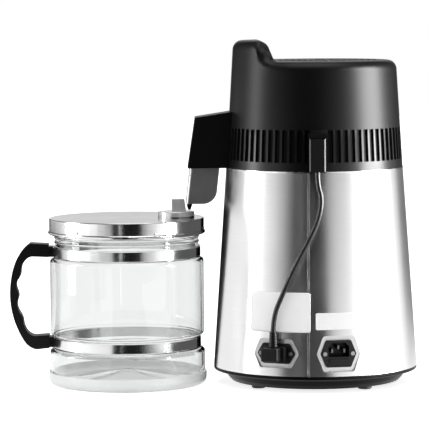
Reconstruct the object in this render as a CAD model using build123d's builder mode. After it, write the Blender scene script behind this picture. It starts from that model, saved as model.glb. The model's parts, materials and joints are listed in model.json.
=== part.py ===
from build123d import *

import os
from math import cos, radians, sin, tan

# A countertop water distiller: a steel boiler at +X with a lift-off condenser head, and a glass jar at -X
# under the head's spout. The boiler's sockets face -Y and Z is up. Lengths are millimetres, angles degrees.

# Layout and fits
jar_gap = 8.7  # between the jar's base and the boiler's casing
overrun = 6.0  # how far a cut runs past the face that it opens
slip = 0.2  # between pieces that seat in each other
running_gap = 0.3  # between pieces that move past each other

# Outer casing, a tapered steel shell with a pressed flat behind each socket
casing_bottom_r = 117.8
casing_taper = 15.6  # from the bottom radius to the top radius
casing_height = 228.1
casing_wall = 1.0
back_azimuth = 263.0
press_depth = 3.5
press_border = 5.0
press_corner = 4.0
hexagon_flat_share = 0.70  # length of a hexagon's level sides

# Base pan and feet
foot_height = 3.8
foot_r = 8.0
foot_inset = 11.5  # of a foot's middle in from the edge of the pan's floor
foot_edge = 1.0
foot_stem_r = 3.0
foot_stem_height = 3.4
foot_count = 4
pan_floor = 2.5
pan_wall = 2.5
pan_height = 16.7  # from the pan's underside up to the casing
pan_inset = 13.0  # of the pan's wall in from the casing
pan_flare = 3.5
pan_floor_inset = 4.0
pan_waist_rise = 4.2
lip_thickness = 4.0  # at the casing's edge
lip_fall = 2.5  # of the lip's underside towards the pan's wall
lip_round = 1.8

# Boiling pot
pot_gap = 6.2  # between the casing's top and the pot
pot_taper = 4.0
pot_bottom_z = 80.0
pot_corner = 14.0
pot_wall = 0.8
pot_flange = 1.4
pot_overhang = 0.3  # of the flange past the casing

# Heater under the pot
heater_thickness = 6.0
element_ring_r = 40.0
element_r = 4.0
element_arc = 330.0
terminal_r = 2.2
terminal_length = 14.0
terminal_turn = 5.0  # of a terminal in from the element's end
thermostat_r = 9.0
thermostat_height = 7.0
thermostat_inset = 22.0  # of a thermostat's middle in from the element
thermostat_neck_r = 5.5
thermostat_neck_height = 4.0

# Posts and screws that clamp the base pan, casing and pot together
post_count = 3
post_start = 33.0
post_inset = 16.0  # of a post's middle in from the heater's edge
post_r = 4.5
boss_r = 6.0
boss_height = 8.0
base_screw_r = 2.0
base_screw_head_r = 4.0
base_screw_head = 2.2
base_screw_reach = 12.0  # into the post

# Sockets on the back
socket_rise = 25.5  # of the sockets' middle above the casing's bottom
flange_thickness = 2.5
flange_corner = 2.5
inlet_turn = 17.4
inlet_flange_w = 40.5
inlet_flange_h = 30.5
inlet_body_w = 27.5
inlet_body_h = 29.0
inlet_body_depth = 24.0
aperture_w = 24.0
aperture_h = 16.2
aperture_wall = 2.0  # above the aperture
aperture_chamfer = 4.5
aperture_depth = 16.0
pin_w = 2.0
pin_h = 4.0
pin_length = 13.0
pin_spread = 7.0
live_pin_drop = 1.4
earth_pin_rise = 2.6
outlet_turn = -18.7
outlet_flange_w = 45.0
outlet_flange_h = 23.0
outlet_body_w = 30.0
outlet_body_h = 20.0
outlet_body_depth = 22.0
inlet_screw_margin = 2.25  # of a screw's middle past the inlet's body
outlet_screw_margin = 3.2
socket_screw_r = 1.4
socket_screw_head_r = 2.3
socket_screw_head = 0.9
socket_screw_length = 9.0
screw_slot_w = 0.8
screw_slot_depth = 0.45

# Fuse drawer in the mains inlet
bay_w = 22.0
bay_h = 8.0
bay_wall = 0.9  # under the bay
bay_depth = 20.0
drawer_wall = 0.9
drawer_face = 2.0
drawer_pull = 1.6
drawer_pull_h = 2.4
fuse_r = 2.5
fuse_gap = 0.5  # between the fuse and the drawer's sides
fuse_cap = 4.5

# Reset button on the front
button_azimuth = 83.0
button_press_r = 16.0
bezel_r = 13.0
bezel_thickness = 2.5
bezel_sleeve_r = 10.6
bezel_sleeve_depth = 12.0
button_r = 8.5
button_proud = 2.2
button_edge = 1.2
button_travel = 3.0
switch_w = 22.0
switch_depth = 18.0
plunger_r = 3.0

# Head: the slotted ring, with the dome on it
head_step = 0.3  # of the head in from the casing's top
head_taper = 6.5
head_wall = 2.5
slot_rise = 9.8  # of the slots above the head's bottom
slot_height = 36.5
dome_rise = 63.5  # from the slots up to the shoulder
crown_rise = 13.0  # from the shoulder up to the level crown
hump_rise = 23.5
hump_depth = 47.5  # of the hump, from the shoulder to its foot
hump_run = 9.0
hump_crest_round = 14.0
hump_foot_round = 8.0
crown_round = 11.0
slot_count = 72
slot_w = 6.2
spout_clear_angle = 15.0  # half of the sector without slots behind the spout
plug_clear_angle = 6.0  # half of the sector without slots behind the plug
ledge_thickness = 3.0
ledge_w = 14.0
screen_thickness = 0.8

# Long screws through the head, and the pillars that take them
pillar_inset = 7.0  # of a pillar's middle in from the shoulder
pillar_r = 4.6
pillar_count = 4
pillar_start = 45.0
pillar_web = 4.0
bracket_drop = 20.0  # of the fan's bracket below the shoulder
head_screw_r = 1.7
head_screw_head_r = 3.4
head_screw_head = 1.8
head_screw_reach = 17.5  # into the dome's pillar
bracket_screw_length = 14.0

# Top grille
grille_margin = 7.7  # from the crown's rounded edge
grille_hump_gap = 3.0  # from the foot of the hump
grille_thickness = 3.0
grille_seat_w = 3.5
grille_seat_thickness = 2.0
grille_rings = 7
grille_gap_share = 0.55  # open part of each ring's pitch
grille_hub_r = 11.0
grille_spokes = 12
grille_spoke_w = 2.4

# Fan, motor and bracket
bracket_thickness = 3.0
bracket_hub_r = 30.0
bracket_arm_w = 14.0
motor_r = 27.0
motor_height = 19.0
motor_round = 3.0
motor_bore_depth = 10.0
shaft_r = 2.5
hub_r = 14.0
hub_height = 20.0
hub_drop = 8.0
fan_gap = 5.4  # between the blades and the pillars
blade_count = 6
blade_chord = 30.0
blade_thickness = 2.0
blade_pitch = 28.0

# Inner lid, seal and condenser coil
lid_plate = 1.0
seal_thickness = 1.8
seal_w = 5.0
lid_skirt_gap = 15.2  # between the skirt and the pot
lid_skirt_depth = 12.0
coil_r = 4.0
coil_bore_r = 3.2
coil_first_r = 26.0
coil_pitch = 14.0
coil_half_turns = 6
coil_rise = 29.8  # of the coil above the head's bottom
coil_bend = 14.0
rest_count = 3
rest_inner_r = 22.0
rest_outer_r = 62.0
rest_w = 3.0
rest_start = 25.0

# Spout, its steel chute, and the filter and nozzle in it
spout_w = 44.0
spout_wall = 1.8
spout_root_rise = 18.8  # of the spout's roof above the slots
spout_fall = 7.0
spout_lean = 8.7
spout_edge = 2.0
chute_wall = 1.2
chute_insert = 6.0
chute_drop = 41.2  # of the chute below the head
chute_lean = 2.5  # of the chute's bottom past the spout's
chute_inner_gap = 7.7  # between the head and the chute's inner side
chute_taper = 5.4
chute_corner = 16.0
chute_edge = 3.5  # round of the chute's outer corners, seen from above
window_w = 22.0
window_h = 30.0
tray_thickness = 2.0
nozzle_r = 4.0
nozzle_tip_r = 1.5
nozzle_bore_r = 0.8
nozzle_length = 8.0
drip_gap = 1.5  # between the inlet cap and the nozzle
cup_margin = 4.6  # between the cup and the chute's mouth
cup_plate = 1.6
cup_wall = 1.5
cup_depth = 20.0
cup_hole_r = 1.5
cup_hole_ring_share = 0.48  # of the cup's radius
cup_hole_count = 6
sachet_gap = 0.6  # between the sachet and the cup
sachet_height = 13.0

# Fan cord and its plugs
plug_azimuth = 268.9
plug_w = 18.4
plug_depth = 9.6
plug_height = 38.0
plug_standoff = 0.6  # from the slotted ring
plug_edge = 1.5
contact_r = 1.2
contact_spread = 4.0
contact_length = 12.0
socket_block_w = 20.0
socket_block_height = 5.0
cord_d = 5.5
nose_w = 22.6
nose_h = 14.0
nose_length = 14.5
nose_chamfer = 4.0
angle_body_w = 27.0
angle_body_h = 17.0
angle_body_depth = 9.0
angle_front_w = 20.0
angle_front_h = 15.6
angle_front_depth = 11.0
angle_edge = 1.6
relief_base_r = 5.3
relief_top_r = 4.2
relief_height = 16.5
relief_reach = 6.7  # from the flange's face to the relief's axis
relief_grooves = 5
relief_groove = 0.8
bend_share = 0.45  # of the shorter run, taken up by a bend
# Route of the cord about the boiler's axis, from the head's plug to the relief
cord_route = [
    (-2.1, -107.3, 250.0),
    (-2.1, -107.3, 236.0),
    (2.8, -111.5, 220.0),
    (-1.0, -113.2, 198.0),
    (-12.1, -114.6, 174.0),
    (-26.8, -114.1, 147.5),
    (-41.1, -112.2, 116.0),
    (-52.8, -109.7, 88.0),
    (-52.8, -109.7, 71.0),
]

# Glass jar and the cup under it
glass_wall = 3.0
body_r = 89.0
bulge_swell = 0.9  # of the bulge at the foot past the body
bulge_top_z = 39.7
waist_depth = 4.8  # of a band's groove into the body
waist_rise = 3.2  # from a shoulder to the band's groove
groove_spare = 1.2  # above and below a band in its groove
neck_step = 1.5
neck_height = 29.1
glass_base_z = 3.4
glass_corner = 16.0
glass_shoulder = 4.0
punt_inset = 30.0  # of the punt's edge in from the body
punt_height = 11.0
ridge_r = 1.3
ridge_rises = (4.8, 10.3)  # of the neck's ridges above its foot
base_cup_wall = 1.4
cup_rim_z = 15.2
cup_corner = 8.0

# Bands, brackets and handle of the jar
band_wall = 1.0
band_height = 10.5
bracket_w = 20.0
bracket_depth = 5.0
bracket_overlap = 0.6  # of a bracket above and below its band
bolt_r = 1.2
bolt_head = 1.6
handle_depth = 44.9
handle_drop = 3.0  # of the handle below the lower band
handle_rise = 4.7  # of the handle above the upper band
handle_w = 22.0
# Outline of the handle, as shares of its depth from the root and of its height
handle_back_shares = [
    (0.470, 1.000), (0.763, 0.888), (0.978, 0.641), (1.000, 0.526),
    (0.898, 0.278), (0.743, 0.141), (0.528, 0.032), (0.328, 0.000),
]
handle_grip_shares = [
    (0.353, 0.127), (0.508, 0.148), (0.645, 0.228), (0.683, 0.300), (0.780, 0.366),
    (0.816, 0.438), (0.774, 0.504), (0.829, 0.583), (0.823, 0.633), (0.723, 0.699),
    (0.705, 0.758), (0.645, 0.815), (0.528, 0.863), (0.410, 0.877),
]
handle_root_shares = (0.990, 0.870, 0.135, 0.012)  # heights of the arms' four corners at the root

# Jar lid, its seal and the turning inlet cap
lid_overhang = 6.9  # of the lid past the jar's neck
lid_sheet = 0.8
jar_skirt_height = 18.2
lid_round = 1.2
rolled_edge_r = 2.0
rolled_edge_out = 1.4  # of the rolled edge past the lid's skirt
nub_r = 1.6
nub_rise = 6.0
nub_count = 6
nub_start = -8.0
lid_seal_w = 4.6
lid_seal_thickness = 2.0
lid_seal_overhang = 1.0  # of the seal past the glass
cap_inset = 32.0  # of the cap's middle in from the lid's edge
cap_r = 21.0
seat_height = 1.2
cap_height = 5.3
cap_edge = 1.0
cap_pivot_r = 3.0
cap_pivot_depth = 5.0
drip_offset = 15.4
drip_r = 3.0
fin_inner = 5.0
fin_outer_top = 9.6
fin_outer_bottom = 11.6
fin_height = 14.0
fin_w = 6.0

# Boiler's places, worked out from the sizes above
casing_top_r = casing_bottom_r - casing_taper
casing_bottom_z = foot_height + pan_height
casing_top_z = casing_bottom_z + casing_height
rim_z = casing_top_z + pot_flange
pan_top_r = casing_bottom_r - pan_inset
pan_waist_r = pan_top_r - pan_flare
pan_floor_r = pan_waist_r - pan_floor_inset
pan_floor_z = foot_height + pan_floor
foot_ring_r = pan_floor_r - foot_inset
foot_start = back_azimuth + 180 / foot_count
boss_top_z = pan_floor_z + boss_height
pot_r = casing_top_r - pot_gap
pot_bottom_r = pot_r - pot_taper
heater_r = pot_bottom_r - pot_corner
heater_z = pot_bottom_z - heater_thickness
post_ring_r = heater_r - post_inset
thermostat_ring_r = element_ring_r - thermostat_inset
socket_z = casing_bottom_z + socket_rise
inlet_azimuth = back_azimuth + inlet_turn
outlet_azimuth = back_azimuth + outlet_turn
inlet_screw_spread = inlet_body_w / 2 + inlet_screw_margin
outlet_screw_spread = outlet_body_w / 2 + outlet_screw_margin
aperture_rise = (inlet_body_h - aperture_h) / 2 - aperture_wall
bay_drop = (inlet_body_h - bay_h) / 2 - bay_wall

# Head's places
head_bottom_r = casing_top_r - head_step
shoulder_r = head_bottom_r - head_taper
head_bottom_z = rim_z + slip
slot_bottom_z = head_bottom_z + slot_rise
slot_top_z = slot_bottom_z + slot_height
shoulder_z = slot_top_z + dome_rise
crown_z = shoulder_z + crown_rise
hump_z = crown_z + hump_rise
hump_foot_x = shoulder_r - hump_depth
hump_crest_x = hump_foot_x + hump_run
pillar_ring_r = shoulder_r - pillar_inset
fan_r = pillar_ring_r - pillar_r - fan_gap
bracket_z = shoulder_z - bracket_drop
lid_plate_z = head_bottom_z + seal_thickness
lid_plate_top_z = lid_plate_z + lid_plate
lid_skirt_r = pot_r - pot_wall - lid_skirt_gap
coil_z = head_bottom_z + coil_rise
spout_root_z = slot_top_z + spout_root_rise
spout_tip_z = spout_root_z - spout_fall
chute_top_z = head_bottom_z + chute_insert
chute_bottom_z = head_bottom_z - chute_drop
nozzle_tip_z = chute_bottom_z - nozzle_length
plug_top_z = rim_z + plug_height
plug_middle = plug_depth / 2

# Jar's places: the cap on its lid comes up to the nozzle
bulge_r = body_r + bulge_swell
waist_r = body_r - waist_depth
neck_r = waist_r - neck_step
punt_r = body_r - punt_inset
cup_outer_r = bulge_r + slip + base_cup_wall
cap_top_z = nozzle_tip_z - drip_gap
cap_bottom_z = cap_top_z - cap_height
lid_top_z = cap_bottom_z - slip - seat_height
lid_under_z = lid_top_z - lid_sheet
lid_skirt_z = lid_top_z - jar_skirt_height
glass_top_z = lid_under_z - lid_seal_thickness - slip
neck_bottom_z = glass_top_z - neck_height
upper_band_z = neck_bottom_z - groove_spare - band_height
high_groove_z = upper_band_z - groove_spare
body_top_z = high_groove_z - waist_rise
low_groove_z = bulge_top_z + waist_rise
lower_band_z = low_groove_z + groove_spare
body_bottom_z = lower_band_z + band_height + groove_spare + waist_rise
band_r = waist_r + slip + band_wall
handle_root = band_r + bracket_depth
handle_reach = handle_root + handle_depth
handle_bottom_z = lower_band_z - handle_drop
handle_height = upper_band_z + band_height + handle_rise - handle_bottom_z
bolt_head_r = bracket_depth / 2 - slip
lid_r = neck_r + lid_overhang
cap_offset = lid_r - cap_inset

# The two axes, with the whole part centred along X, and how far the spout reaches towards the jar
axis_gap = casing_bottom_r + cup_outer_r + jar_gap
boiler_x = (handle_reach + axis_gap - casing_bottom_r) / 2
jar_x = boiler_x - axis_gap
cap_x = jar_x + cap_offset
nozzle_reach = axis_gap - cap_offset - drip_offset
chute_bottom_reach = nozzle_reach + nozzle_r + slip
chute_inner_top_reach = head_bottom_r + chute_inner_gap
chute_inner_bottom_reach = chute_inner_top_reach + chute_taper
spout_bottom_reach = chute_bottom_reach - chute_lean
spout_tip_reach = spout_bottom_reach - spout_lean


def casing_r(z):
    """Outer radius of the casing at a height."""
    return casing_bottom_r + (casing_top_r - casing_bottom_r) * (z - casing_bottom_z) / casing_height


def head_r(z):
    """Outer radius of the head at a height."""
    return head_bottom_r + (shoulder_r - head_bottom_r) * (z - head_bottom_z) / (shoulder_z - head_bottom_z)


def spout_reach(z):
    """How far the spout's front stands from the boiler's axis at a height."""
    lean = (spout_bottom_reach - spout_tip_reach) / (spout_tip_z - head_bottom_z)
    return spout_bottom_reach - lean * (z - head_bottom_z)


def axial_plane(x):
    """The upright plane through the axis at x, where a point is a radius and a height."""
    return Plane(origin=(x, 0, 0), x_dir=(1, 0, 0), z_dir=(0, -1, 0))


def level_plane(x, z):
    """A level plane about the axis at x."""
    return Plane(origin=(x, 0, z), x_dir=(1, 0, 0), z_dir=(0, 0, 1))


def wall_plane(azimuth, distance, z):
    """An upright plane that faces out from the boiler's axis."""
    outward = Vector(cos(radians(azimuth)), sin(radians(azimuth)), 0)
    along = Vector(-sin(radians(azimuth)), cos(radians(azimuth)), 0)
    return Plane(origin=Vector(boiler_x, 0, z) + outward * distance, x_dir=along, z_dir=outward)


def upright(x):
    """The upright axis at x."""
    return Axis((x, 0, 0), (0, 0, 1))


def turned(x, outline, rounds=()):
    """A solid turned about the axis at x, from radius and height points, some of them rounded."""
    with BuildPart() as body:
        with BuildSketch(axial_plane(x)) as section:
            with BuildLine():
                Polyline(*outline, close=True)
            make_face()
            for point, radius in rounds:
                fillet(section.vertices().sort_by_distance((*point, 0))[0], radius)
        revolve(axis=upright(x))
    return body.part


def ring(x, inner_r, outer_r, bottom_z, top_z):
    """A plain ring about the axis at x."""
    return turned(x, [(inner_r, bottom_z), (outer_r, bottom_z), (outer_r, top_z), (inner_r, top_z)])


def hexagon_prism(plane, width, height, depth, corner):
    """A six-sided prism, pointed left and right, that stands on a plane."""
    flat = width * hexagon_flat_share / 2
    with BuildPart() as prism:
        with BuildSketch(plane) as outline:
            with BuildLine():
                Polyline(
                    (-width / 2, 0), (-flat, height / 2), (flat, height / 2),
                    (width / 2, 0), (flat, -height / 2), (-flat, -height / 2), close=True,
                )
            make_face()
            fillet(outline.vertices(), corner)
        extrude(amount=depth)
    return prism.part


flat_distance = casing_r(socket_z) - press_depth
press_reach = press_depth + 2 * overrun
inlet_plane = wall_plane(inlet_azimuth, flat_distance, socket_z)
outlet_plane = wall_plane(outlet_azimuth, flat_distance, socket_z)
button_plane = wall_plane(button_azimuth, flat_distance, socket_z)
presses = [
    (inlet_plane, inlet_flange_w + 2 * press_border, inlet_flange_h + 2 * press_border),
    (outlet_plane, outlet_flange_w + 2 * press_border, outlet_flange_h + 2 * press_border),
]
socket_screws_at = [(inlet_plane, inlet_screw_spread), (outlet_plane, outlet_screw_spread)]

# Room inside the casing, which leaves one wall behind each pressed flat
with BuildPart() as casing_room:
    low_z = casing_bottom_z - overrun
    high_z = casing_top_z + overrun
    add(turned(boiler_x, [
        (0, low_z), (casing_r(low_z) - casing_wall, low_z),
        (casing_r(high_z) - casing_wall, high_z), (0, high_z),
    ]))
    for plane, width, height in presses:
        grown_w = width + 2 * casing_wall
        grown_h = height + 2 * casing_wall
        grown = hexagon_prism(plane.offset(-casing_wall), grown_w, grown_h, press_reach, press_corner)
        add(grown, mode=Mode.SUBTRACT)
    with BuildSketch(button_plane.offset(-casing_wall)):
        Circle(button_press_r + casing_wall)
    extrude(amount=press_reach, mode=Mode.SUBTRACT)

with BuildPart() as outer_casing:
    add(turned(boiler_x, [
        (0, casing_bottom_z), (casing_bottom_r, casing_bottom_z),
        (casing_top_r, casing_top_z), (0, casing_top_z),
    ]))
    for plane, width, height in presses:
        add(hexagon_prism(plane, width, height, press_reach, press_corner), mode=Mode.SUBTRACT)
    with BuildSketch(button_plane):
        Circle(button_press_r)
    extrude(amount=press_reach, mode=Mode.SUBTRACT)
    add(casing_room.part, mode=Mode.SUBTRACT)
    with BuildSketch(inlet_plane.offset(overrun)):
        Rectangle(inlet_body_w + 2 * slip, inlet_body_h + 2 * slip)
    extrude(amount=-2 * overrun, mode=Mode.SUBTRACT)
    with BuildSketch(outlet_plane.offset(overrun)):
        Rectangle(outlet_body_w + 2 * slip, outlet_body_h + 2 * slip)
    extrude(amount=-2 * overrun, mode=Mode.SUBTRACT)
    with BuildSketch(button_plane.offset(overrun)):
        Circle(bezel_sleeve_r + slip)
    extrude(amount=-2 * overrun, mode=Mode.SUBTRACT)
    for plane, spread in socket_screws_at:
        with BuildSketch(plane.offset(overrun)):
            with Locations((-spread, 0), (spread, 0)):
                Circle(socket_screw_r + slip)
        extrude(amount=-2 * overrun, mode=Mode.SUBTRACT)

with BuildPart() as base_pan:
    lip_z = casing_bottom_z - lip_thickness
    lip_root_z = lip_z - lip_fall
    waist_z = foot_height + pan_waist_rise
    upstand_top_z = socket_z - inlet_flange_h / 2 - press_border - casing_wall - slip
    upstand_r = casing_r(upstand_top_z) - casing_wall - slip
    add(turned(boiler_x, [
        (0, foot_height), (pan_floor_r, foot_height), (pan_waist_r, waist_z), (pan_top_r, lip_root_z),
        (casing_bottom_r, lip_z), (casing_bottom_r, casing_bottom_z), (upstand_r, casing_bottom_z),
        (upstand_r, upstand_top_z), (upstand_r - pan_wall, upstand_top_z),
        (upstand_r - pan_wall, casing_bottom_z),
        (pan_top_r - pan_wall, casing_bottom_z), (pan_waist_r - pan_wall, waist_z),
        (pan_floor_r - pan_wall, pan_floor_z), (0, pan_floor_z),
    ], rounds=[
        ((pan_waist_r, waist_z), pan_waist_rise), ((pan_top_r, lip_root_z), lip_fall),
        ((casing_bottom_r, lip_z), lip_round),
    ]))
    with BuildSketch(level_plane(boiler_x, pan_floor_z)):
        with PolarLocations(post_ring_r, post_count, post_start):
            Circle(boss_r)
    extrude(amount=boss_height)
    with BuildSketch(level_plane(boiler_x, foot_height - overrun)):
        with PolarLocations(post_ring_r, post_count, post_start):
            Circle(base_screw_r + slip)
    extrude(amount=boss_top_z - foot_height + 2 * overrun, mode=Mode.SUBTRACT)
    with BuildSketch(level_plane(boiler_x, foot_height)):
        with PolarLocations(post_ring_r, post_count, post_start):
            Circle(base_screw_head_r + slip)
    extrude(amount=base_screw_head + slip, mode=Mode.SUBTRACT)
    with BuildSketch(level_plane(boiler_x, foot_height - overrun)):
        with PolarLocations(foot_ring_r, foot_count, foot_start):
            Circle(foot_stem_r + slip)
    extrude(amount=pan_floor + 2 * overrun, mode=Mode.SUBTRACT)

with BuildPart() as rubber_feet:
    with BuildSketch(level_plane(boiler_x, 0)):
        with PolarLocations(foot_ring_r, foot_count, foot_start):
            Circle(foot_r)
    extrude(amount=foot_height)
    chamfer(rubber_feet.faces().sort_by(Axis.Z)[:foot_count].edges(), foot_edge)
    with BuildSketch(level_plane(boiler_x, foot_height)):
        with PolarLocations(foot_ring_r, foot_count, foot_start):
            Circle(foot_stem_r)
    extrude(amount=foot_stem_height)

with BuildPart() as base_posts:
    with BuildSketch(level_plane(boiler_x, boss_top_z)):
        with PolarLocations(post_ring_r, post_count, post_start):
            Circle(post_r)
    extrude(amount=heater_z - boss_top_z)
    with BuildSketch(level_plane(boiler_x, boss_top_z)):
        with PolarLocations(post_ring_r, post_count, post_start):
            Circle(base_screw_r + slip)
    extrude(amount=base_screw_reach + slip, mode=Mode.SUBTRACT)

with BuildPart() as base_screws:
    with BuildSketch(level_plane(boiler_x, foot_height + slip)):
        with PolarLocations(post_ring_r, post_count, post_start):
            Circle(base_screw_head_r)
    extrude(amount=base_screw_head)
    with BuildSketch(level_plane(boiler_x, foot_height + slip + base_screw_head)):
        with PolarLocations(post_ring_r, post_count, post_start):
            Circle(base_screw_r)
    extrude(amount=boss_top_z + base_screw_reach - foot_height - slip - base_screw_head)

with BuildPart() as boiler_pot:
    flange_r = casing_top_r + pot_overhang
    add(turned(boiler_x, [
        (0, pot_bottom_z), (pot_bottom_r, pot_bottom_z), (pot_r, casing_top_z), (flange_r, casing_top_z),
        (flange_r, rim_z), (pot_r - pot_wall, rim_z), (pot_bottom_r - pot_wall, pot_bottom_z + pot_wall),
        (0, pot_bottom_z + pot_wall),
    ], rounds=[
        ((pot_bottom_r, pot_bottom_z), pot_corner),
        ((pot_bottom_r - pot_wall, pot_bottom_z + pot_wall), pot_corner - pot_wall),
    ]))

with BuildPart() as heater_plate:
    with BuildSketch(level_plane(boiler_x, heater_z)):
        Circle(heater_r)
    extrude(amount=heater_thickness)

with BuildPart() as heating_element:
    element_z = heater_z - element_r
    with BuildSketch(axial_plane(boiler_x)):
        with Locations((element_ring_r, element_z)):
            Circle(element_r)
    revolve(axis=upright(boiler_x), revolution_arc=element_arc)
    with BuildSketch(level_plane(boiler_x, element_z)):
        with PolarLocations(
            element_ring_r, 2, terminal_turn, element_arc - 2 * terminal_turn, endpoint=True,
        ):
            Circle(terminal_r)
    extrude(amount=-terminal_length)

with BuildPart() as thermostats:
    with BuildSketch(level_plane(boiler_x, heater_z)):
        with PolarLocations(thermostat_ring_r, 2):
            Circle(thermostat_r)
    extrude(amount=-thermostat_height)
    with BuildSketch(level_plane(boiler_x, heater_z - thermostat_height)):
        with PolarLocations(thermostat_ring_r, 2):
            Circle(thermostat_neck_r)
    extrude(amount=-thermostat_neck_height)

with BuildPart() as mains_inlet:
    flange_face = inlet_plane.offset(flange_thickness)
    add(hexagon_prism(inlet_plane, inlet_flange_w, inlet_flange_h, flange_thickness, flange_corner))
    with BuildSketch(inlet_plane):
        Rectangle(inlet_body_w, inlet_body_h)
    extrude(amount=-inlet_body_depth)
    with BuildSketch(flange_face) as mouth:
        with Locations((0, aperture_rise)):
            Rectangle(aperture_w, aperture_h)
        chamfer(mouth.vertices().group_by(Axis.Y)[-1], aperture_chamfer)
    extrude(amount=-aperture_depth, mode=Mode.SUBTRACT)
    with BuildSketch(flange_face):
        with Locations((0, -bay_drop)):
            Rectangle(bay_w, bay_h)
    extrude(amount=-bay_depth, mode=Mode.SUBTRACT)
    with BuildSketch(flange_face):
        with Locations((-inlet_screw_spread, 0), (inlet_screw_spread, 0)):
            Circle(socket_screw_r + slip)
    extrude(amount=-flange_thickness - overrun, mode=Mode.SUBTRACT)

with BuildPart() as mains_inlet_pins:
    with BuildSketch(inlet_plane.offset(flange_thickness - aperture_depth)):
        with Locations(
            (-pin_spread, aperture_rise - live_pin_drop),
            (pin_spread, aperture_rise - live_pin_drop),
            (0, aperture_rise + earth_pin_rise),
        ):
            Rectangle(pin_w, pin_h)
    extrude(amount=pin_length)

with BuildPart() as fuse_drawer:
    drawer_w = bay_w - 2 * running_gap
    drawer_h = bay_h - 2 * running_gap
    drawer_back = bay_depth - flange_thickness - running_gap
    with BuildSketch(inlet_plane.offset(flange_thickness)):
        with Locations((0, -bay_drop)):
            Rectangle(drawer_w, drawer_h)
    extrude(amount=-drawer_back - flange_thickness)
    with BuildSketch(inlet_plane.offset(flange_thickness)):
        with Locations((0, -bay_drop + (drawer_h - drawer_pull_h) / 2)):
            Rectangle(drawer_w, drawer_pull_h)
    extrude(amount=drawer_pull)
    with BuildSketch(inlet_plane.offset(flange_thickness - drawer_face)):
        with Locations((0, -bay_drop + drawer_wall)):
            Rectangle(drawer_w - 2 * drawer_wall, drawer_h)
    extrude(amount=drawer_face + drawer_wall - drawer_back - flange_thickness, mode=Mode.SUBTRACT)

with BuildPart() as fuse:
    fuse_axis_z = -bay_drop - drawer_h / 2 + drawer_wall + fuse_r
    fuse_depth = (flange_thickness - drawer_face - drawer_back + drawer_wall) / 2
    fuse_length = drawer_w - 2 * drawer_wall - 2 * fuse_gap
    fuse_plane = Plane(
        origin=inlet_plane.from_local_coords(Vector(-fuse_length / 2, fuse_axis_z, fuse_depth)),
        x_dir=inlet_plane.z_dir, z_dir=inlet_plane.x_dir,
    )
    with BuildSketch(fuse_plane):
        Circle(fuse_r - slip)
    extrude(amount=fuse_length)
    with BuildSketch(fuse_plane, fuse_plane.offset(fuse_length - fuse_cap)):
        Circle(fuse_r)
    extrude(amount=fuse_cap)

with BuildPart() as fan_outlet:
    add(hexagon_prism(outlet_plane, outlet_flange_w, outlet_flange_h, flange_thickness, flange_corner))
    with BuildSketch(outlet_plane):
        Rectangle(outlet_body_w, outlet_body_h)
    extrude(amount=-outlet_body_depth)
    with BuildSketch(outlet_plane.offset(flange_thickness)) as mouth:
        Rectangle(nose_w + 2 * slip, nose_h + 2 * slip)
        chamfer(mouth.vertices().group_by(Axis.Y)[-1], nose_chamfer)
    extrude(amount=-nose_length - slip, mode=Mode.SUBTRACT)
    with BuildSketch(outlet_plane.offset(flange_thickness)):
        with Locations((-outlet_screw_spread, 0), (outlet_screw_spread, 0)):
            Circle(socket_screw_r + slip)
    extrude(amount=-flange_thickness - overrun, mode=Mode.SUBTRACT)

with BuildPart() as socket_screws:
    for plane, spread in socket_screws_at:
        face = plane.offset(flange_thickness)
        with BuildSketch(face):
            with Locations((-spread, 0), (spread, 0)):
                Circle(socket_screw_head_r)
        extrude(amount=socket_screw_head)
        with BuildSketch(face):
            with Locations((-spread, 0), (spread, 0)):
                Circle(socket_screw_r)
        extrude(amount=-socket_screw_length)
        with BuildSketch(face.offset(socket_screw_head)):
            with Locations((-spread, 0), (spread, 0)):
                Rectangle(screw_slot_w, 2 * socket_screw_head_r)
                Rectangle(2 * socket_screw_head_r, screw_slot_w)
        extrude(amount=-screw_slot_depth, mode=Mode.SUBTRACT)

with BuildPart() as button_bezel:
    with BuildSketch(button_plane):
        Circle(bezel_r)
    extrude(amount=bezel_thickness)
    with BuildSketch(button_plane):
        Circle(bezel_sleeve_r)
    extrude(amount=-bezel_sleeve_depth)
    with BuildSketch(button_plane.offset(bezel_thickness)):
        Circle(button_r + running_gap)
    extrude(amount=-bezel_thickness - bezel_sleeve_depth, mode=Mode.SUBTRACT)

with BuildPart() as reset_button:
    button_face = button_plane.offset(bezel_thickness + button_proud)
    button_length = bezel_thickness + button_proud + bezel_sleeve_depth - button_travel - running_gap
    with BuildSketch(button_face):
        Circle(button_r)
    extrude(amount=-button_length)
    outer_face = reset_button.faces().sort_by(Axis(button_plane.origin, button_plane.z_dir))[-1]
    fillet(outer_face.edges(), button_edge)
    with BuildSketch(button_face.offset(-button_length)):
        Circle(plunger_r + running_gap)
    extrude(amount=button_travel + running_gap, mode=Mode.SUBTRACT)

with BuildPart() as reset_switch:
    with BuildSketch(button_plane.offset(-bezel_sleeve_depth)):
        Rectangle(switch_w, switch_w)
    extrude(amount=-switch_depth)
    with BuildSketch(button_plane.offset(-bezel_sleeve_depth)):
        Circle(plunger_r)
    extrude(amount=button_travel)

# Head
plug_plane = wall_plane(plug_azimuth, head_bottom_r + plug_standoff, 0)
pillar_turns = [pillar_start + 360 / pillar_count * step for step in range(pillar_count)]
slot_turns = [360 / slot_count * (step + 1 / 2) for step in range(slot_count)]
open_slots = [
    turn for turn in slot_turns
    if abs(turn - 180) > spout_clear_angle and abs(turn - plug_azimuth) > plug_clear_angle
]

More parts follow.
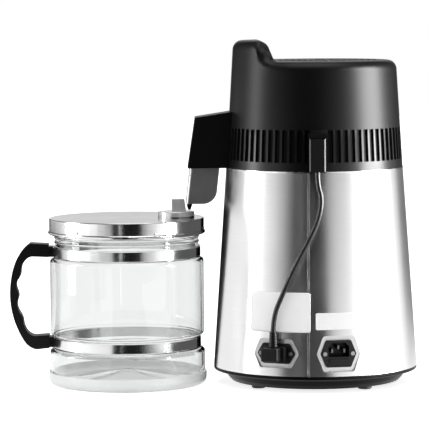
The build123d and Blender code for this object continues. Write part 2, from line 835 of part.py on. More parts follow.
with BuildPart() as vent_ring:
    with BuildSketch(axial_plane(boiler_x)):
        with BuildLine():
            Polyline(
                (head_bottom_r, head_bottom_z), (head_r(slot_top_z), slot_top_z),
                (head_r(slot_top_z) - head_wall, slot_top_z), (head_bottom_r - head_wall, head_bottom_z),
                close=True,
            )
        make_face()
    revolve(axis=upright(boiler_x))
    add(ring(
        boiler_x, head_bottom_r - ledge_w, head_r(lid_plate_top_z) - head_wall / 2,
        lid_plate_top_z, lid_plate_top_z + ledge_thickness,
    ))
    with BuildSketch(level_plane(boiler_x, lid_plate_top_z)):
        with PolarLocations(pillar_ring_r, pillar_count, pillar_start):
            Circle(pillar_r)
    extrude(amount=slot_top_z - lid_plate_top_z)
    for turn in open_slots:
        with BuildSketch(wall_plane(turn, head_bottom_r + overrun, 0)):
            with Locations((0, (slot_bottom_z + slot_top_z) / 2)):
                Rectangle(slot_w, slot_top_z - slot_bottom_z)
    extrude(amount=-overrun - 3 * head_wall, mode=Mode.SUBTRACT)
    with BuildSketch(wall_plane(180, head_bottom_r + overrun, coil_z)):
        Rectangle(window_w, window_h)
    extrude(amount=-overrun - 4 * head_wall, mode=Mode.SUBTRACT)
    with BuildSketch(level_plane(boiler_x, lid_plate_top_z - overrun)):
        with PolarLocations(pillar_ring_r, pillar_count, pillar_start):
            Circle(head_screw_r + slip)
    extrude(amount=slot_top_z - lid_plate_top_z + 2 * overrun, mode=Mode.SUBTRACT)

with BuildPart() as vent_screen:
    screen_bottom_z = lid_plate_top_z + ledge_thickness
    screen_bottom_r = head_r(screen_bottom_z) - head_wall - slip
    screen_top_r = head_r(slot_top_z) - head_wall - slip
    add(turned(boiler_x, [
        (screen_bottom_r, screen_bottom_z), (screen_top_r, slot_top_z),
        (screen_top_r - screen_thickness, slot_top_z), (screen_bottom_r - screen_thickness, screen_bottom_z),
    ]))
    with BuildSketch(wall_plane(180, head_bottom_r + overrun, coil_z)):
        Rectangle(window_w + 2 * slip, window_h + overrun)
    extrude(amount=-overrun - 4 * head_wall, mode=Mode.SUBTRACT)


def dome_solid(inset):
    """The head above the slots, drawn in evenly by an inset: a cone with a level crown and a hump at -X."""
    crown = crown_z - inset
    hump = hump_z - inset
    crest = (-hump_crest_x - inset, hump)
    foot = (-hump_foot_x - inset, crown)
    far = head_bottom_r + overrun
    with BuildPart() as dome:
        with BuildSketch(axial_plane(boiler_x)):
            with BuildLine():
                Polyline(
                    (0, slot_top_z), (head_r(slot_top_z) - inset, slot_top_z),
                    (head_r(hump) - inset, hump), (0, hump), close=True,
                )
            make_face()
        revolve(axis=upright(boiler_x))
        with BuildSketch(axial_plane(boiler_x)) as step:
            with BuildLine():
                Polyline(
                    (-far, hump), crest, foot, (far, crown), (far, hump + overrun), (-far, hump + overrun),
                    close=True,
                )
            make_face()
            fillet(step.vertices().sort_by_distance((*crest, 0))[0], hump_crest_round - inset)
            fillet(step.vertices().sort_by_distance((*foot, 0))[0], hump_foot_round + inset)
        extrude(amount=far, both=True, mode=Mode.SUBTRACT)
        curved = dome.edges().filter_by(GeomType.LINE, reverse=True)
        rim = curved.filter_by(lambda edge: edge.center().Z > shoulder_z)
        fillet(rim, crown_round - inset)
    return dome.part


with BuildPart() as head_dome:
    add(dome_solid(0))
    add(dome_solid(head_wall), mode=Mode.SUBTRACT)
    grille_bottom_z = crown_z - grille_thickness
    grille_right = head_r(crown_z) - crown_round - grille_margin
    grille_left = grille_hump_gap - hump_foot_x
    grille_x = (grille_right + grille_left) / 2
    grille_r = (grille_right - grille_left) / 2
    with BuildSketch(level_plane(boiler_x + grille_x, grille_bottom_z - grille_seat_thickness)):
        Circle(grille_r + grille_seat_w)
    extrude(amount=grille_seat_thickness + grille_thickness)
    with BuildSketch(level_plane(boiler_x + grille_x, grille_bottom_z)):
        Circle(grille_r)
    extrude(amount=grille_thickness + overrun, mode=Mode.SUBTRACT)
    with BuildSketch(level_plane(boiler_x + grille_x, grille_bottom_z - grille_seat_thickness)):
        Circle(grille_r - grille_seat_w)
    extrude(amount=grille_seat_thickness, mode=Mode.SUBTRACT)
    web_length = head_r(slot_top_z) - head_wall / 2 - pillar_ring_r
    for turn in pillar_turns:
        with BuildSketch(level_plane(boiler_x, slot_top_z)):
            with Locations(Location((0, 0, 0), (0, 0, turn))):
                with Locations((pillar_ring_r, 0)):
                    Circle(pillar_r)
                    Rectangle(web_length, pillar_web, align=(Align.MIN, Align.CENTER))
        extrude(amount=bracket_z - slot_top_z)
    add(turned(boiler_x, [
        (head_r(slot_top_z), slot_top_z), (head_r(bracket_z), bracket_z),
        (head_bottom_r + overrun, bracket_z), (head_bottom_r + overrun, slot_top_z),
    ]), mode=Mode.SUBTRACT)
    with BuildSketch(level_plane(boiler_x, slot_top_z)):
        with PolarLocations(pillar_ring_r, pillar_count, pillar_start):
            Circle(head_screw_r + slip)
    extrude(amount=bracket_z - slot_top_z, mode=Mode.SUBTRACT)

with BuildPart() as top_grille:
    grille_outer_r = grille_r - slip
    pitch = (grille_outer_r - grille_hub_r) / grille_rings
    spoke_length = grille_outer_r - grille_hub_r - grille_spoke_w
    with BuildSketch(level_plane(boiler_x + grille_x, grille_bottom_z)):
        Circle(grille_outer_r)
        for step in reversed(range(grille_rings)):
            inner = grille_hub_r + pitch * step
            Circle(inner + pitch * grille_gap_share, mode=Mode.SUBTRACT)
            Circle(inner)
        with PolarLocations(grille_hub_r, grille_spokes):
            Rectangle(spoke_length, grille_spoke_w, align=(Align.MIN, Align.CENTER))
    extrude(amount=grille_thickness)

with BuildPart() as fan_bracket:
    with BuildSketch(level_plane(boiler_x, bracket_z)):
        Circle(bracket_hub_r)
        with PolarLocations(0, pillar_count, pillar_start):
            Rectangle(pillar_ring_r, bracket_arm_w, align=(Align.MIN, Align.CENTER))
        with PolarLocations(pillar_ring_r, pillar_count, pillar_start):
            Circle(pillar_r)
            Circle(head_screw_r + slip, mode=Mode.SUBTRACT)
        Circle(shaft_r + 2 * running_gap, mode=Mode.SUBTRACT)
    extrude(amount=bracket_thickness)

with BuildPart() as fan_motor:
    motor_z = bracket_z + bracket_thickness
    with BuildSketch(level_plane(boiler_x, motor_z)):
        Circle(motor_r)
    extrude(amount=motor_height)
    fillet(fan_motor.faces().sort_by(Axis.Z)[-1].edges(), motor_round)
    with BuildSketch(level_plane(boiler_x, motor_z)):
        Circle(shaft_r + running_gap)
    extrude(amount=motor_bore_depth, mode=Mode.SUBTRACT)

with BuildPart() as fan_shaft:
    hub_top_z = bracket_z - hub_drop
    with BuildSketch(level_plane(boiler_x, hub_top_z - hub_height)):
        Circle(shaft_r)
    extrude(amount=motor_z + motor_bore_depth - running_gap - hub_top_z + hub_height)

with BuildPart() as fan_blades:
    with BuildSketch(level_plane(boiler_x, hub_top_z - hub_height)):
        Circle(hub_r)
    extrude(amount=hub_height)
    for turn in range(blade_count):
        swing = Plane(
            origin=(boiler_x, 0, hub_top_z - hub_height / 2),
            x_dir=Vector(1, 0, 0).rotate(Axis.Z, 360 / blade_count * turn),
            z_dir=Vector(0, sin(radians(blade_pitch)), cos(radians(blade_pitch))).rotate(
                Axis.Z, 360 / blade_count * turn
            ),
        )
        with BuildSketch(swing.offset(-blade_thickness / 2)) as blade:
            with Locations((hub_r / 2, 0)):
                Rectangle(fan_r - hub_r / 2, blade_chord, align=(Align.MIN, Align.CENTER))
            fillet(blade.vertices().group_by(Axis.X)[-1], blade_chord / 3)
        extrude(amount=blade_thickness)
    with BuildSketch(level_plane(boiler_x, hub_top_z - hub_height)):
        Circle(shaft_r)
    extrude(amount=hub_height, mode=Mode.SUBTRACT)

with BuildPart() as inner_lid:
    steam_x = boiler_x - coil_first_r
    steam_y = -2 * coil_bend
    with BuildSketch(level_plane(boiler_x, lid_plate_z)):
        Circle(head_r(lid_plate_z) - head_wall - slip)
    extrude(amount=lid_plate)
    add(ring(boiler_x, lid_skirt_r - lid_plate, lid_skirt_r, lid_plate_z - lid_skirt_depth, lid_plate_z))
    with BuildSketch(Plane(origin=(steam_x, steam_y, lid_plate_z))):
        Circle(coil_bore_r)
    extrude(amount=lid_plate, mode=Mode.SUBTRACT)
    with BuildSketch(level_plane(boiler_x, lid_plate_z)):
        with PolarLocations(pillar_ring_r, pillar_count, pillar_start):
            Circle(head_screw_r + slip)
    extrude(amount=lid_plate, mode=Mode.SUBTRACT)

with BuildPart() as steam_gasket:
    seal_r = head_r(lid_plate_z) - head_wall - slip
    add(ring(boiler_x, seal_r - seal_w, seal_r, head_bottom_z, lid_plate_z))

with BuildPart() as head_screws:
    head_screw_z = lid_plate_z - head_screw_head
    head_screw_length = slot_top_z + head_screw_reach - lid_plate_z
    for base_z, length, head_z in (
        (lid_plate_z, head_screw_length, head_screw_z),
        (bracket_z + bracket_thickness, -bracket_screw_length, bracket_z + bracket_thickness),
    ):
        with BuildSketch(level_plane(boiler_x, head_z)):
            with PolarLocations(pillar_ring_r, pillar_count, pillar_start):
                Circle(head_screw_head_r)
        extrude(amount=head_screw_head)
        with BuildSketch(level_plane(boiler_x, base_z)):
            with PolarLocations(pillar_ring_r, pillar_count, pillar_start):
                Circle(head_screw_r)
        extrude(amount=length)

# Mouth of the chute, and the filter cup in the middle of it
chute_top_reach = spout_reach(chute_top_z) - spout_wall - slip
chute_w = spout_w - 2 * spout_wall - 2 * slip
cup_reach = (chute_top_reach + chute_inner_top_reach) / 2
cup_r = (chute_top_reach - chute_inner_top_reach) / 2 - cup_margin

# Condenser coil: steam rises through the inner lid, goes round in half turns and leaves along the spout
with BuildPart() as condenser_coil:
    coil_y = -coil_bend
    cup_x = boiler_x - cup_reach
    cup_top_z = chute_top_z + cup_plate
    diagonal = coil_bend * cos(radians(45))
    with BuildLine() as coil_path:
        Line((steam_x, steam_y, lid_plate_top_z), (steam_x, steam_y, coil_z - coil_bend))
        ThreePointArc(
            (steam_x, steam_y, coil_z - coil_bend),
            (steam_x, coil_y - diagonal, coil_z - coil_bend + diagonal),
            (steam_x, coil_y, coil_z),
        )
        for step in range(coil_half_turns):
            turn_r = coil_first_r + coil_pitch / 2 * step
            side = -1 if step % 2 == 0 else 1
            centre_x = boiler_x - coil_pitch / 2 * (step % 2)
            ThreePointArc(
                (centre_x + side * turn_r, coil_y, coil_z),
                (centre_x, coil_y - side * turn_r, coil_z),
                (centre_x - side * turn_r, coil_y, coil_z),
            )
        last_x = centre_x - side * turn_r
        ThreePointArc(
            (last_x, coil_y, coil_z),
            (last_x - coil_bend + diagonal, coil_y + diagonal, coil_z),
            (last_x - coil_bend, 0, coil_z),
        )
        Line((last_x - coil_bend, 0, coil_z), (cup_x + coil_bend, 0, coil_z))
        ThreePointArc(
            (cup_x + coil_bend, 0, coil_z),
            (cup_x + coil_bend - diagonal, 0, coil_z - coil_bend + diagonal),
            (cup_x, 0, coil_z - coil_bend),
        )
        Line((cup_x, 0, coil_z - coil_bend), (cup_x, 0, cup_top_z + running_gap))
    with BuildSketch(Plane(origin=(steam_x, steam_y, lid_plate_top_z))):
        Circle(coil_r)
        Circle(coil_bore_r, mode=Mode.SUBTRACT)
    sweep(path=coil_path.line)
print("condenser coil: least gap between turns", coil_pitch - 2 * coil_r)

with BuildPart() as coil_rests:
    with BuildSketch(Plane(origin=(boiler_x, coil_y, lid_plate_top_z))):
        with PolarLocations(rest_inner_r, rest_count, rest_start):
            Rectangle(rest_outer_r - rest_inner_r, rest_w, align=(Align.MIN, Align.CENTER))
    extrude(amount=coil_z - coil_r - slip - lid_plate_top_z)

# Spout, trimmed to the head's wall
head_cone = turned(boiler_x, [
    (0, head_bottom_z - overrun), (head_r(head_bottom_z - overrun), head_bottom_z - overrun),
    (head_r(shoulder_z), shoulder_z), (0, shoulder_z),
])

with BuildPart() as spout_box:
    root = shoulder_r - head_wall
    with BuildSketch(axial_plane(boiler_x)) as side:
        with BuildLine():
            Polyline(
                (-root, head_bottom_z), (-spout_bottom_reach, head_bottom_z), (-spout_tip_reach, spout_tip_z),
                (-root, spout_root_z), close=True,
            )
        make_face()
        fillet(side.vertices().sort_by_distance((-spout_tip_reach, spout_tip_z, 0))[0], spout_edge)
    extrude(amount=spout_w / 2, both=True)
    add(head_cone, mode=Mode.SUBTRACT)
    low_z = head_bottom_z - overrun
    high_z = spout_tip_z - spout_wall
    with BuildSketch(axial_plane(boiler_x)):
        with BuildLine():
            Polyline(
                (0, low_z), (spout_wall - spout_reach(low_z), low_z),
                (spout_wall - spout_reach(high_z), high_z),
                (-root, spout_root_z - spout_wall), (0, spout_root_z - spout_wall), close=True,
            )
        make_face()
    extrude(amount=spout_w / 2 - spout_wall, both=True, mode=Mode.SUBTRACT)


def is_chute_front(face):
    """Whether a face is the outside or the inside of the chute's leaning front wall."""
    width = face.bounding_box().size.Y
    leans = abs(face.normal_at().X) > abs(face.normal_at().Z) > 0
    return leans and abs(face.normal_at().Y) < abs(face.normal_at().Z) and width > chute_w / 2


with BuildPart() as spout_chute:
    with BuildSketch(axial_plane(boiler_x)) as side:
        with BuildLine():
            Polyline(
                (-chute_top_reach, chute_top_z), (-chute_bottom_reach, chute_bottom_z),
                (-chute_inner_bottom_reach, chute_bottom_z), (-chute_inner_top_reach, chute_top_z),
                close=True,
            )
        make_face()
        heel = (-chute_inner_bottom_reach, chute_bottom_z, 0)
        fillet(side.vertices().sort_by_distance(heel)[0], chute_corner)
    extrude(amount=chute_w / 2, both=True)
    with BuildSketch(axial_plane(boiler_x)):
        with BuildLine():
            Polyline(
                (chute_wall - chute_top_reach, chute_top_z),
                (chute_wall - chute_bottom_reach, chute_bottom_z),
                (-root, chute_bottom_z), (-root, chute_top_z), close=True,
            )
        make_face()
    extrude(amount=chute_w / 2 - chute_wall, both=True, mode=Mode.SUBTRACT)
    front, back = spout_chute.faces().filter_by(is_chute_front).sort_by(Axis.X)
    fillet(back.edges().filter_by(Axis.Y, reverse=True), chute_edge - chute_wall)
    front = spout_chute.faces().filter_by(is_chute_front).sort_by(Axis.X)[0]
    fillet(front.edges().filter_by(Axis.Y, reverse=True), chute_edge)

with BuildPart() as drip_nozzle:
    nozzle_x = boiler_x - nozzle_reach
    lean = (chute_bottom_reach - chute_top_reach) / (chute_top_z - chute_bottom_z)
    tray_front = chute_bottom_reach - chute_wall - slip
    tray_reach = chute_inner_bottom_reach + chute_corner + slip
    tray_top_z = chute_bottom_z + tray_thickness
    with BuildSketch(axial_plane(boiler_x)):
        with BuildLine():
            Polyline(
                (-tray_front, chute_bottom_z), (lean * tray_thickness - tray_front, tray_top_z),
                (-tray_reach, tray_top_z), (-tray_reach, chute_bottom_z), close=True,
            )
        make_face()
    extrude(amount=chute_w / 2 - chute_wall - slip, both=True)
    tray_tip = drip_nozzle.faces().sort_by(Axis.X)[0]
    fillet(tray_tip.edges().filter_by(Axis.Y, reverse=True), chute_edge - chute_wall)
    add(turned(nozzle_x, [
        (0, nozzle_tip_z), (nozzle_tip_r, nozzle_tip_z), (nozzle_r, chute_bottom_z), (0, chute_bottom_z),
    ]))
    with BuildSketch(level_plane(nozzle_x, nozzle_tip_z)):
        Circle(nozzle_bore_r)
    extrude(amount=tray_top_z - nozzle_tip_z, mode=Mode.SUBTRACT)

with BuildPart() as filter_cup:
    with BuildSketch(level_plane(boiler_x, chute_top_z)):
        with Locations((-(chute_top_reach + chute_inner_top_reach) / 2, 0)):
            Rectangle(chute_top_reach - chute_inner_top_reach - 2 * chute_wall, chute_w)
    extrude(amount=cup_plate)
    with BuildSketch(level_plane(cup_x, chute_top_z)):
        Circle(cup_r)
    extrude(amount=-cup_depth)
    with BuildSketch(level_plane(cup_x, cup_top_z)):
        Circle(cup_r - cup_wall)
    extrude(amount=-cup_depth - cup_plate + cup_wall, mode=Mode.SUBTRACT)
    with BuildSketch(level_plane(cup_x, chute_top_z - cup_depth)):
        with PolarLocations(cup_r * cup_hole_ring_share, cup_hole_count):
            Circle(cup_hole_r)
    extrude(amount=cup_wall, mode=Mode.SUBTRACT)

with BuildPart() as carbon_sachet:
    with BuildSketch(level_plane(cup_x, chute_top_z - cup_depth + cup_wall)):
        Circle(cup_r - cup_wall - sachet_gap)
    extrude(amount=sachet_height)

# The head's rear socket faces down, so that the head lifts off its plug
with BuildPart() as head_socket:
    with BuildSketch(plug_plane.offset(plug_depth)):
        with Locations((0, plug_top_z + slip + socket_block_height / 2)):
            Rectangle(socket_block_w, socket_block_height)
    extrude(amount=-plug_depth - plug_standoff - 2 * head_wall)
    add(head_cone, mode=Mode.SUBTRACT)

with BuildPart() as head_socket_pins:
    for side in (-contact_spread, contact_spread):
        foot = plug_plane.from_local_coords(Vector(side, plug_top_z + slip, plug_middle))
        with BuildSketch(Plane(origin=foot)):
            Circle(contact_r)
        extrude(amount=-contact_length)

with BuildPart() as head_plug:
    with BuildSketch(plug_plane):
        with Locations((0, rim_z + plug_height / 2)):
            Rectangle(plug_w, plug_height)
    extrude(amount=plug_depth)
    front = head_plug.faces().sort_by(Axis(plug_plane.origin, plug_plane.z_dir))[-1]
    chamfer(front.edges(), plug_edge)
    for side in (-contact_spread, contact_spread):
        foot = plug_plane.from_local_coords(Vector(side, plug_top_z, plug_middle))
        with BuildSketch(Plane(origin=foot)):
            Circle(contact_r + running_gap)
        extrude(amount=-contact_length - running_gap, mode=Mode.SUBTRACT)


def bend_radii(points):
    """The largest bend at each corner of a route that its two runs leave room for."""
    radii = []
    for before, corner, after in zip(points, points[1:], points[2:]):
        run_in = Vector(*corner) - Vector(*before)
        run_out = Vector(*after) - Vector(*corner)
        half_turn = radians(run_in.get_angle(run_out)) / 2
        radii.append(bend_share * min(run_in.length, run_out.length) / tan(half_turn))
    return radii


with BuildPart() as fan_cord:
    cord_points = [(boiler_x + x, y, z) for x, y, z in cord_route]
    cord_radii = bend_radii(cord_points)
    with BuildLine() as cord_path:
        FilletPolyline(*cord_points, radius=cord_radii)
    first_run = Vector(*cord_points[1]) - Vector(*cord_points[0])
    with BuildSketch(Plane(origin=cord_points[0], z_dir=first_run)):
        Circle(cord_d / 2)
    sweep(path=cord_path.line)
cord_length = sum(edge.length for edge in cord_path.edges())
cord_section = Circle(cord_d / 2).area
print("fan cord: bend radii", [round(radius) for radius in cord_radii])
print("fan cord: length", round(cord_length, 1), "section by length", round(cord_section * cord_length))
print("fan cord: volume", round(fan_cord.part.volume))

with BuildPart() as angle_plug:
    plug_face = outlet_plane.offset(flange_thickness)
    with BuildSketch(plug_face) as nose:
        Rectangle(nose_w, nose_h)
        chamfer(nose.vertices().group_by(Axis.Y)[-1], nose_chamfer)
    extrude(amount=-nose_length)
    with BuildSketch(plug_face):
        RectangleRounded(angle_body_w, angle_body_h, angle_edge)
    extrude(amount=angle_body_depth)
    with BuildSketch(plug_face.offset(angle_body_depth)):
        RectangleRounded(angle_front_w, angle_front_h, angle_edge)
    extrude(amount=angle_front_depth)
    front = angle_plug.faces().sort_by(Axis(plug_face.origin, plug_face.z_dir))[-1]
    fillet(front.edges(), angle_edge)

with BuildPart() as plug_relief:
    relief_foot = plug_face.from_local_coords(Vector(0, angle_body_h / 2, relief_reach))
    with BuildSketch(Plane(origin=relief_foot)):
        Circle(relief_base_r)
    with BuildSketch(Plane(origin=relief_foot).offset(relief_height)):
        Circle(relief_top_r)
    loft()
    groove_pitch = relief_height / (relief_grooves + 1)
    for step in range(1, relief_grooves + 1):
        groove_plane = Plane(origin=relief_foot).offset(groove_pitch * step - relief_groove / 2)
        with BuildSketch(groove_plane):
            Circle(relief_base_r + overrun)
            Circle(relief_top_r - relief_groove, mode=Mode.SUBTRACT)
        extrude(amount=relief_groove, mode=Mode.SUBTRACT)
print("plug relief: top at", relief_foot - Vector(boiler_x, 0, 0) + Vector(0, 0, relief_height))


def glass_outline(inset, base_z, punt_z, top_z):
    """Half of the jar's section, drawn in by an inset, with the corners that are rounded."""
    corners = [
        ((bulge_r - inset, base_z), glass_corner - inset),
        ((bulge_r - inset, bulge_top_z), glass_shoulder),
        ((waist_r - inset, low_groove_z), glass_shoulder / 2),
        ((waist_r - inset, body_bottom_z - waist_rise), glass_shoulder / 2),
        ((body_r - inset, body_bottom_z), glass_shoulder),
        ((body_r - inset, body_top_z), glass_shoulder),
        ((waist_r - inset, high_groove_z), glass_shoulder / 2),
    ]
    points = [(0, punt_z), (punt_r, base_z)] + [point for point, radius in corners]
    points += [(waist_r - inset, neck_bottom_z), (neck_r - inset, neck_bottom_z)]
    points += [(neck_r - inset, top_z), (0, top_z)]
    return points, corners


with BuildPart() as glass_jar:
    punt_z = glass_base_z + punt_height
    outside, outside_rounds = glass_outline(0, glass_base_z, punt_z, glass_top_z)
    inside, inside_rounds = glass_outline(
        glass_wall, glass_base_z + glass_wall, punt_z + glass_wall, glass_top_z + overrun,
    )
    add(turned(jar_x, outside, outside_rounds))
    for rise in ridge_rises:
        with BuildSketch(axial_plane(jar_x)):
            with Locations((neck_r, neck_bottom_z + rise)):
                Circle(ridge_r)
        revolve(axis=upright(jar_x))
    add(turned(jar_x, inside, inside_rounds), mode=Mode.SUBTRACT)

with BuildPart() as jar_base_cup:
    cup_inner_r = bulge_r + slip
    cup_floor_z = glass_base_z - slip
    add(turned(jar_x, [
        (0, 0), (cup_outer_r, 0), (cup_outer_r, cup_rim_z), (cup_inner_r, cup_rim_z),
        (cup_inner_r, cup_floor_z), (0, cup_floor_z),
    ], rounds=[((cup_outer_r, 0), cup_corner), ((cup_inner_r, cup_floor_z), cup_corner - cup_floor_z)]))

with BuildPart() as lower_band:
    add(ring(jar_x, waist_r + slip, band_r, lower_band_z, lower_band_z + band_height))

with BuildPart() as upper_band:
    add(ring(jar_x, waist_r + slip, band_r, upper_band_z, upper_band_z + band_height))

with BuildPart() as handle_brackets:
    for band_z in (lower_band_z, upper_band_z):
        with BuildSketch(level_plane(jar_x, band_z - bracket_overlap)):
            with Locations((-handle_root, 0)):
                Rectangle(handle_root - waist_r + bracket_w / 2, bracket_w, align=(Align.MIN, Align.CENTER))
            Circle(band_r, mode=Mode.SUBTRACT)
        extrude(amount=band_height + 2 * bracket_overlap)
        bolt_plane = Plane(
            origin=(jar_x - (handle_root + band_r) / 2, 0, band_z + band_height / 2), z_dir=(0, -1, 0),
        )
        with BuildSketch(bolt_plane):
            Circle(bolt_r + slip)
        extrude(amount=bracket_w, both=True, mode=Mode.SUBTRACT)

with BuildPart() as bracket_bolts:
    for band_z in (lower_band_z, upper_band_z):
        bolt_plane = Plane(
            origin=(jar_x - (handle_root + band_r) / 2, 0, band_z + band_height / 2), z_dir=(0, -1, 0),
        )
        with BuildSketch(bolt_plane):
            Circle(bolt_r)
        extrude(amount=bracket_w / 2, both=True)
        with BuildSketch(bolt_plane.offset(bracket_w / 2), bolt_plane.offset(-bracket_w / 2 - bolt_head)):
            Circle(bolt_head_r)
        extrude(amount=bolt_head)


def handle_point(depth_share, height_share):
    """A point of the handle's outline in its upright plane."""
    return (
        -handle_root - (handle_reach - handle_root) * depth_share,
        handle_bottom_z + handle_height * height_share,
    )


with BuildPart() as jar_handle:
    back = [handle_point(*shares) for shares in handle_back_shares]
    grip = [handle_point(*shares) for shares in handle_grip_shares]
    roots = [handle_point(0, share) for share in handle_root_shares]
    with BuildSketch(axial_plane(jar_x)):
        with BuildLine():
            Line(roots[0], back[0])
            Spline(*back)
            Line(back[-1], roots[3])
            Line(roots[3], roots[2])
            Line(roots[2], grip[0])
            Spline(*grip)
            Line(grip[-1], roots[1])
            Line(roots[1], roots[0])
        make_face()
    extrude(amount=handle_w / 2, both=True)

# Lid of the jar, with the inlet cap that turns on it
with BuildPart() as jar_lid:
    add(turned(jar_x, [
        (0, lid_top_z), (lid_r, lid_top_z), (lid_r, lid_skirt_z), (lid_r - lid_sheet, lid_skirt_z),
        (lid_r - lid_sheet, lid_under_z), (0, lid_under_z),
    ], rounds=[((lid_r, lid_top_z), lid_round), ((lid_r - lid_sheet, lid_under_z), lid_round - lid_sheet)]))
    with BuildSketch(axial_plane(jar_x)):
        with Locations((lid_r + rolled_edge_out - rolled_edge_r, lid_skirt_z + rolled_edge_r)):
            Circle(rolled_edge_r)
    revolve(axis=upright(jar_x))
    with Locations(level_plane(jar_x, lid_skirt_z + nub_rise)):
        with PolarLocations(lid_r - lid_sheet / 2, nub_count, nub_start):
            Sphere(nub_r)
    with BuildSketch(level_plane(cap_x, lid_top_z)):
        Circle(cap_pivot_r + slip)
        with Locations((drip_offset, 0)):
            Circle(drip_r)
    extrude(amount=-lid_sheet, mode=Mode.SUBTRACT)

with BuildPart() as lid_gasket:
    lid_seal_r = neck_r + lid_seal_overhang
    add(ring(jar_x, lid_seal_r - lid_seal_w, lid_seal_r, glass_top_z + slip, lid_under_z))

with BuildPart() as inlet_seat:
    with BuildSketch(level_plane(cap_x, lid_top_z)):
        Circle(cap_r)
        Circle(cap_pivot_r + slip, mode=Mode.SUBTRACT)
        with Locations((drip_offset, 0)):
            Circle(drip_r, mode=Mode.SUBTRACT)
    extrude(amount=seat_height)

with BuildPart() as inlet_cap:
    with BuildSketch(level_plane(cap_x, cap_bottom_z)):
        Circle(cap_r)
    extrude(amount=cap_height)
    fillet(inlet_cap.faces().sort_by(Axis.Z)[-1].edges(), cap_edge)
    fin_top_z = cap_top_z + fin_height
    with BuildSketch(axial_plane(cap_x)):
        with BuildLine():
            Polyline(
                (-fin_inner, cap_top_z), (-fin_inner, fin_top_z), (fin_outer_top, fin_top_z),
                (fin_outer_bottom, cap_top_z), close=True,
            )
        make_face()
    extrude(amount=fin_w / 2, both=True)
    with BuildSketch(level_plane(cap_x, cap_bottom_z)):
        Circle(cap_pivot_r)
    extrude(amount=-cap_pivot_depth)
    with BuildSketch(level_plane(cap_x + drip_offset, cap_bottom_z)):
        Circle(drip_r)
    extrude(amount=cap_height, mode=Mode.SUBTRACT)

pieces = {
    "outer_casing": outer_casing, "base_pan": base_pan, "rubber_feet": rubber_feet, "base_posts": base_posts,
    "base_screws": base_screws, "boiler_pot": boiler_pot, "heater_plate": heater_plate,
    "heating_element": heating_element, "thermostats": thermostats, "mains_inlet": mains_inlet,
    "mains_inlet_pins": mains_inlet_pins, "fuse_drawer": fuse_drawer, "fuse": fuse, "fan_outlet": fan_outlet,
    "socket_screws": socket_screws, "button_bezel": button_bezel, "reset_button": reset_button,
    "reset_switch": reset_switch, "vent_ring": vent_ring, "head_dome": head_dome, "top_grille": top_grille,
    "fan_bracket": fan_bracket, "fan_motor": fan_motor, "fan_shaft": fan_shaft, "fan_blades": fan_blades,
    "inner_lid": inner_lid, "steam_gasket": steam_gasket, "head_screws": head_screws,
    "condenser_coil": condenser_coil, "coil_rests": coil_rests, "spout_box": spout_box,
    "spout_chute": spout_chute, "drip_nozzle": drip_nozzle, "filter_cup": filter_cup,
    "carbon_sachet": carbon_sachet, "head_socket": head_socket, "head_socket_pins": head_socket_pins,
    "vent_screen": vent_screen,
    "head_plug": head_plug, "fan_cord": fan_cord, "angle_plug": angle_plug, "plug_relief": plug_relief,
    "glass_jar": glass_jar, "jar_base_cup": jar_base_cup, "lower_band": lower_band, "upper_band": upper_band,
    "handle_brackets": handle_brackets, "bracket_bolts": bracket_bolts, "jar_handle": jar_handle,
    "jar_lid": jar_lid, "lid_gasket": lid_gasket, "inlet_seat": inlet_seat, "inlet_cap": inlet_cap,
}
os.makedirs("parts", exist_ok=True)
for name, piece in pieces.items():
    piece.part.label = name
    export_step(piece.part, f"parts/{name}.step")
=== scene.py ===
import json
from math import cos, degrees, pi, radians, sin

import bmesh
import bpy
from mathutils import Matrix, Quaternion, Vector


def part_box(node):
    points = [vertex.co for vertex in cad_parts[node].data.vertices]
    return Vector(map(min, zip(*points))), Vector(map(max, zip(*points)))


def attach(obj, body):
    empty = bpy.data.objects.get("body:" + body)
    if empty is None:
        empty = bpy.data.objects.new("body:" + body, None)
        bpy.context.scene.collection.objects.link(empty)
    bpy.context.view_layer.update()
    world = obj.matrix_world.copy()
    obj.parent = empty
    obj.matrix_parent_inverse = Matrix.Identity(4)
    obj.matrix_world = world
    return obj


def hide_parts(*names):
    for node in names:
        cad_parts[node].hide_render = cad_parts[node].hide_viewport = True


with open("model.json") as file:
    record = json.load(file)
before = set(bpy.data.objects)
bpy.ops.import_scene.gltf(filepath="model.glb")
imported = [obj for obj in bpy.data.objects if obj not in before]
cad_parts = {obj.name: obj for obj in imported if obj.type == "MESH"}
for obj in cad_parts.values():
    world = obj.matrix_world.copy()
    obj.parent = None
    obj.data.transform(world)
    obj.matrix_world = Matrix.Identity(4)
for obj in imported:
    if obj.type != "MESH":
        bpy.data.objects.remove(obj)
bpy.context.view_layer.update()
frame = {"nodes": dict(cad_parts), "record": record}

# A countertop water distiller seen from its back: the steel boiler with its black condenser head, and the
# glass jar at its left under the spout. Lengths are metres and angles degrees, unless a name says otherwise.

nodes = frame["nodes"]
millimetre = 0.001
right_angle = 90.0

# Axes and levels, read from the frame
casing_low, casing_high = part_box("outer_casing")
lid_low, lid_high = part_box("jar_lid")
ring_low, ring_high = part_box("vent_ring")
cup_edge_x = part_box("jar_base_cup")[1].x
boiler_x = (casing_low.x + casing_high.x) / 2
jar_x = (lid_low.x + lid_high.x) / 2
boiler_axis = Vector((boiler_x, 0, 0))
casing_height = casing_high.z - casing_low.z
casing_bottom_r = (casing_high.x - casing_low.x) / 2
ring_r = (ring_high.x - ring_low.x) / 2
# and two sizes that the boxes don't show
casing_top_r = 102.2 * millimetre
head_slope = 0.045  # of the head's side, inwards as it rises

# Camera, placed about the boiler's axis
camera_azimuth = 267.0  # of the camera as seen from the boiler
camera_distance = 3.2
camera_height = 0.448
camera_lens_mm = 231.7
camera_sensor_mm = 36.0
camera_roll = -0.42
aim_left = 0.1155  # of the picture's middle from the boiler's axis
aim_height = 0.1941

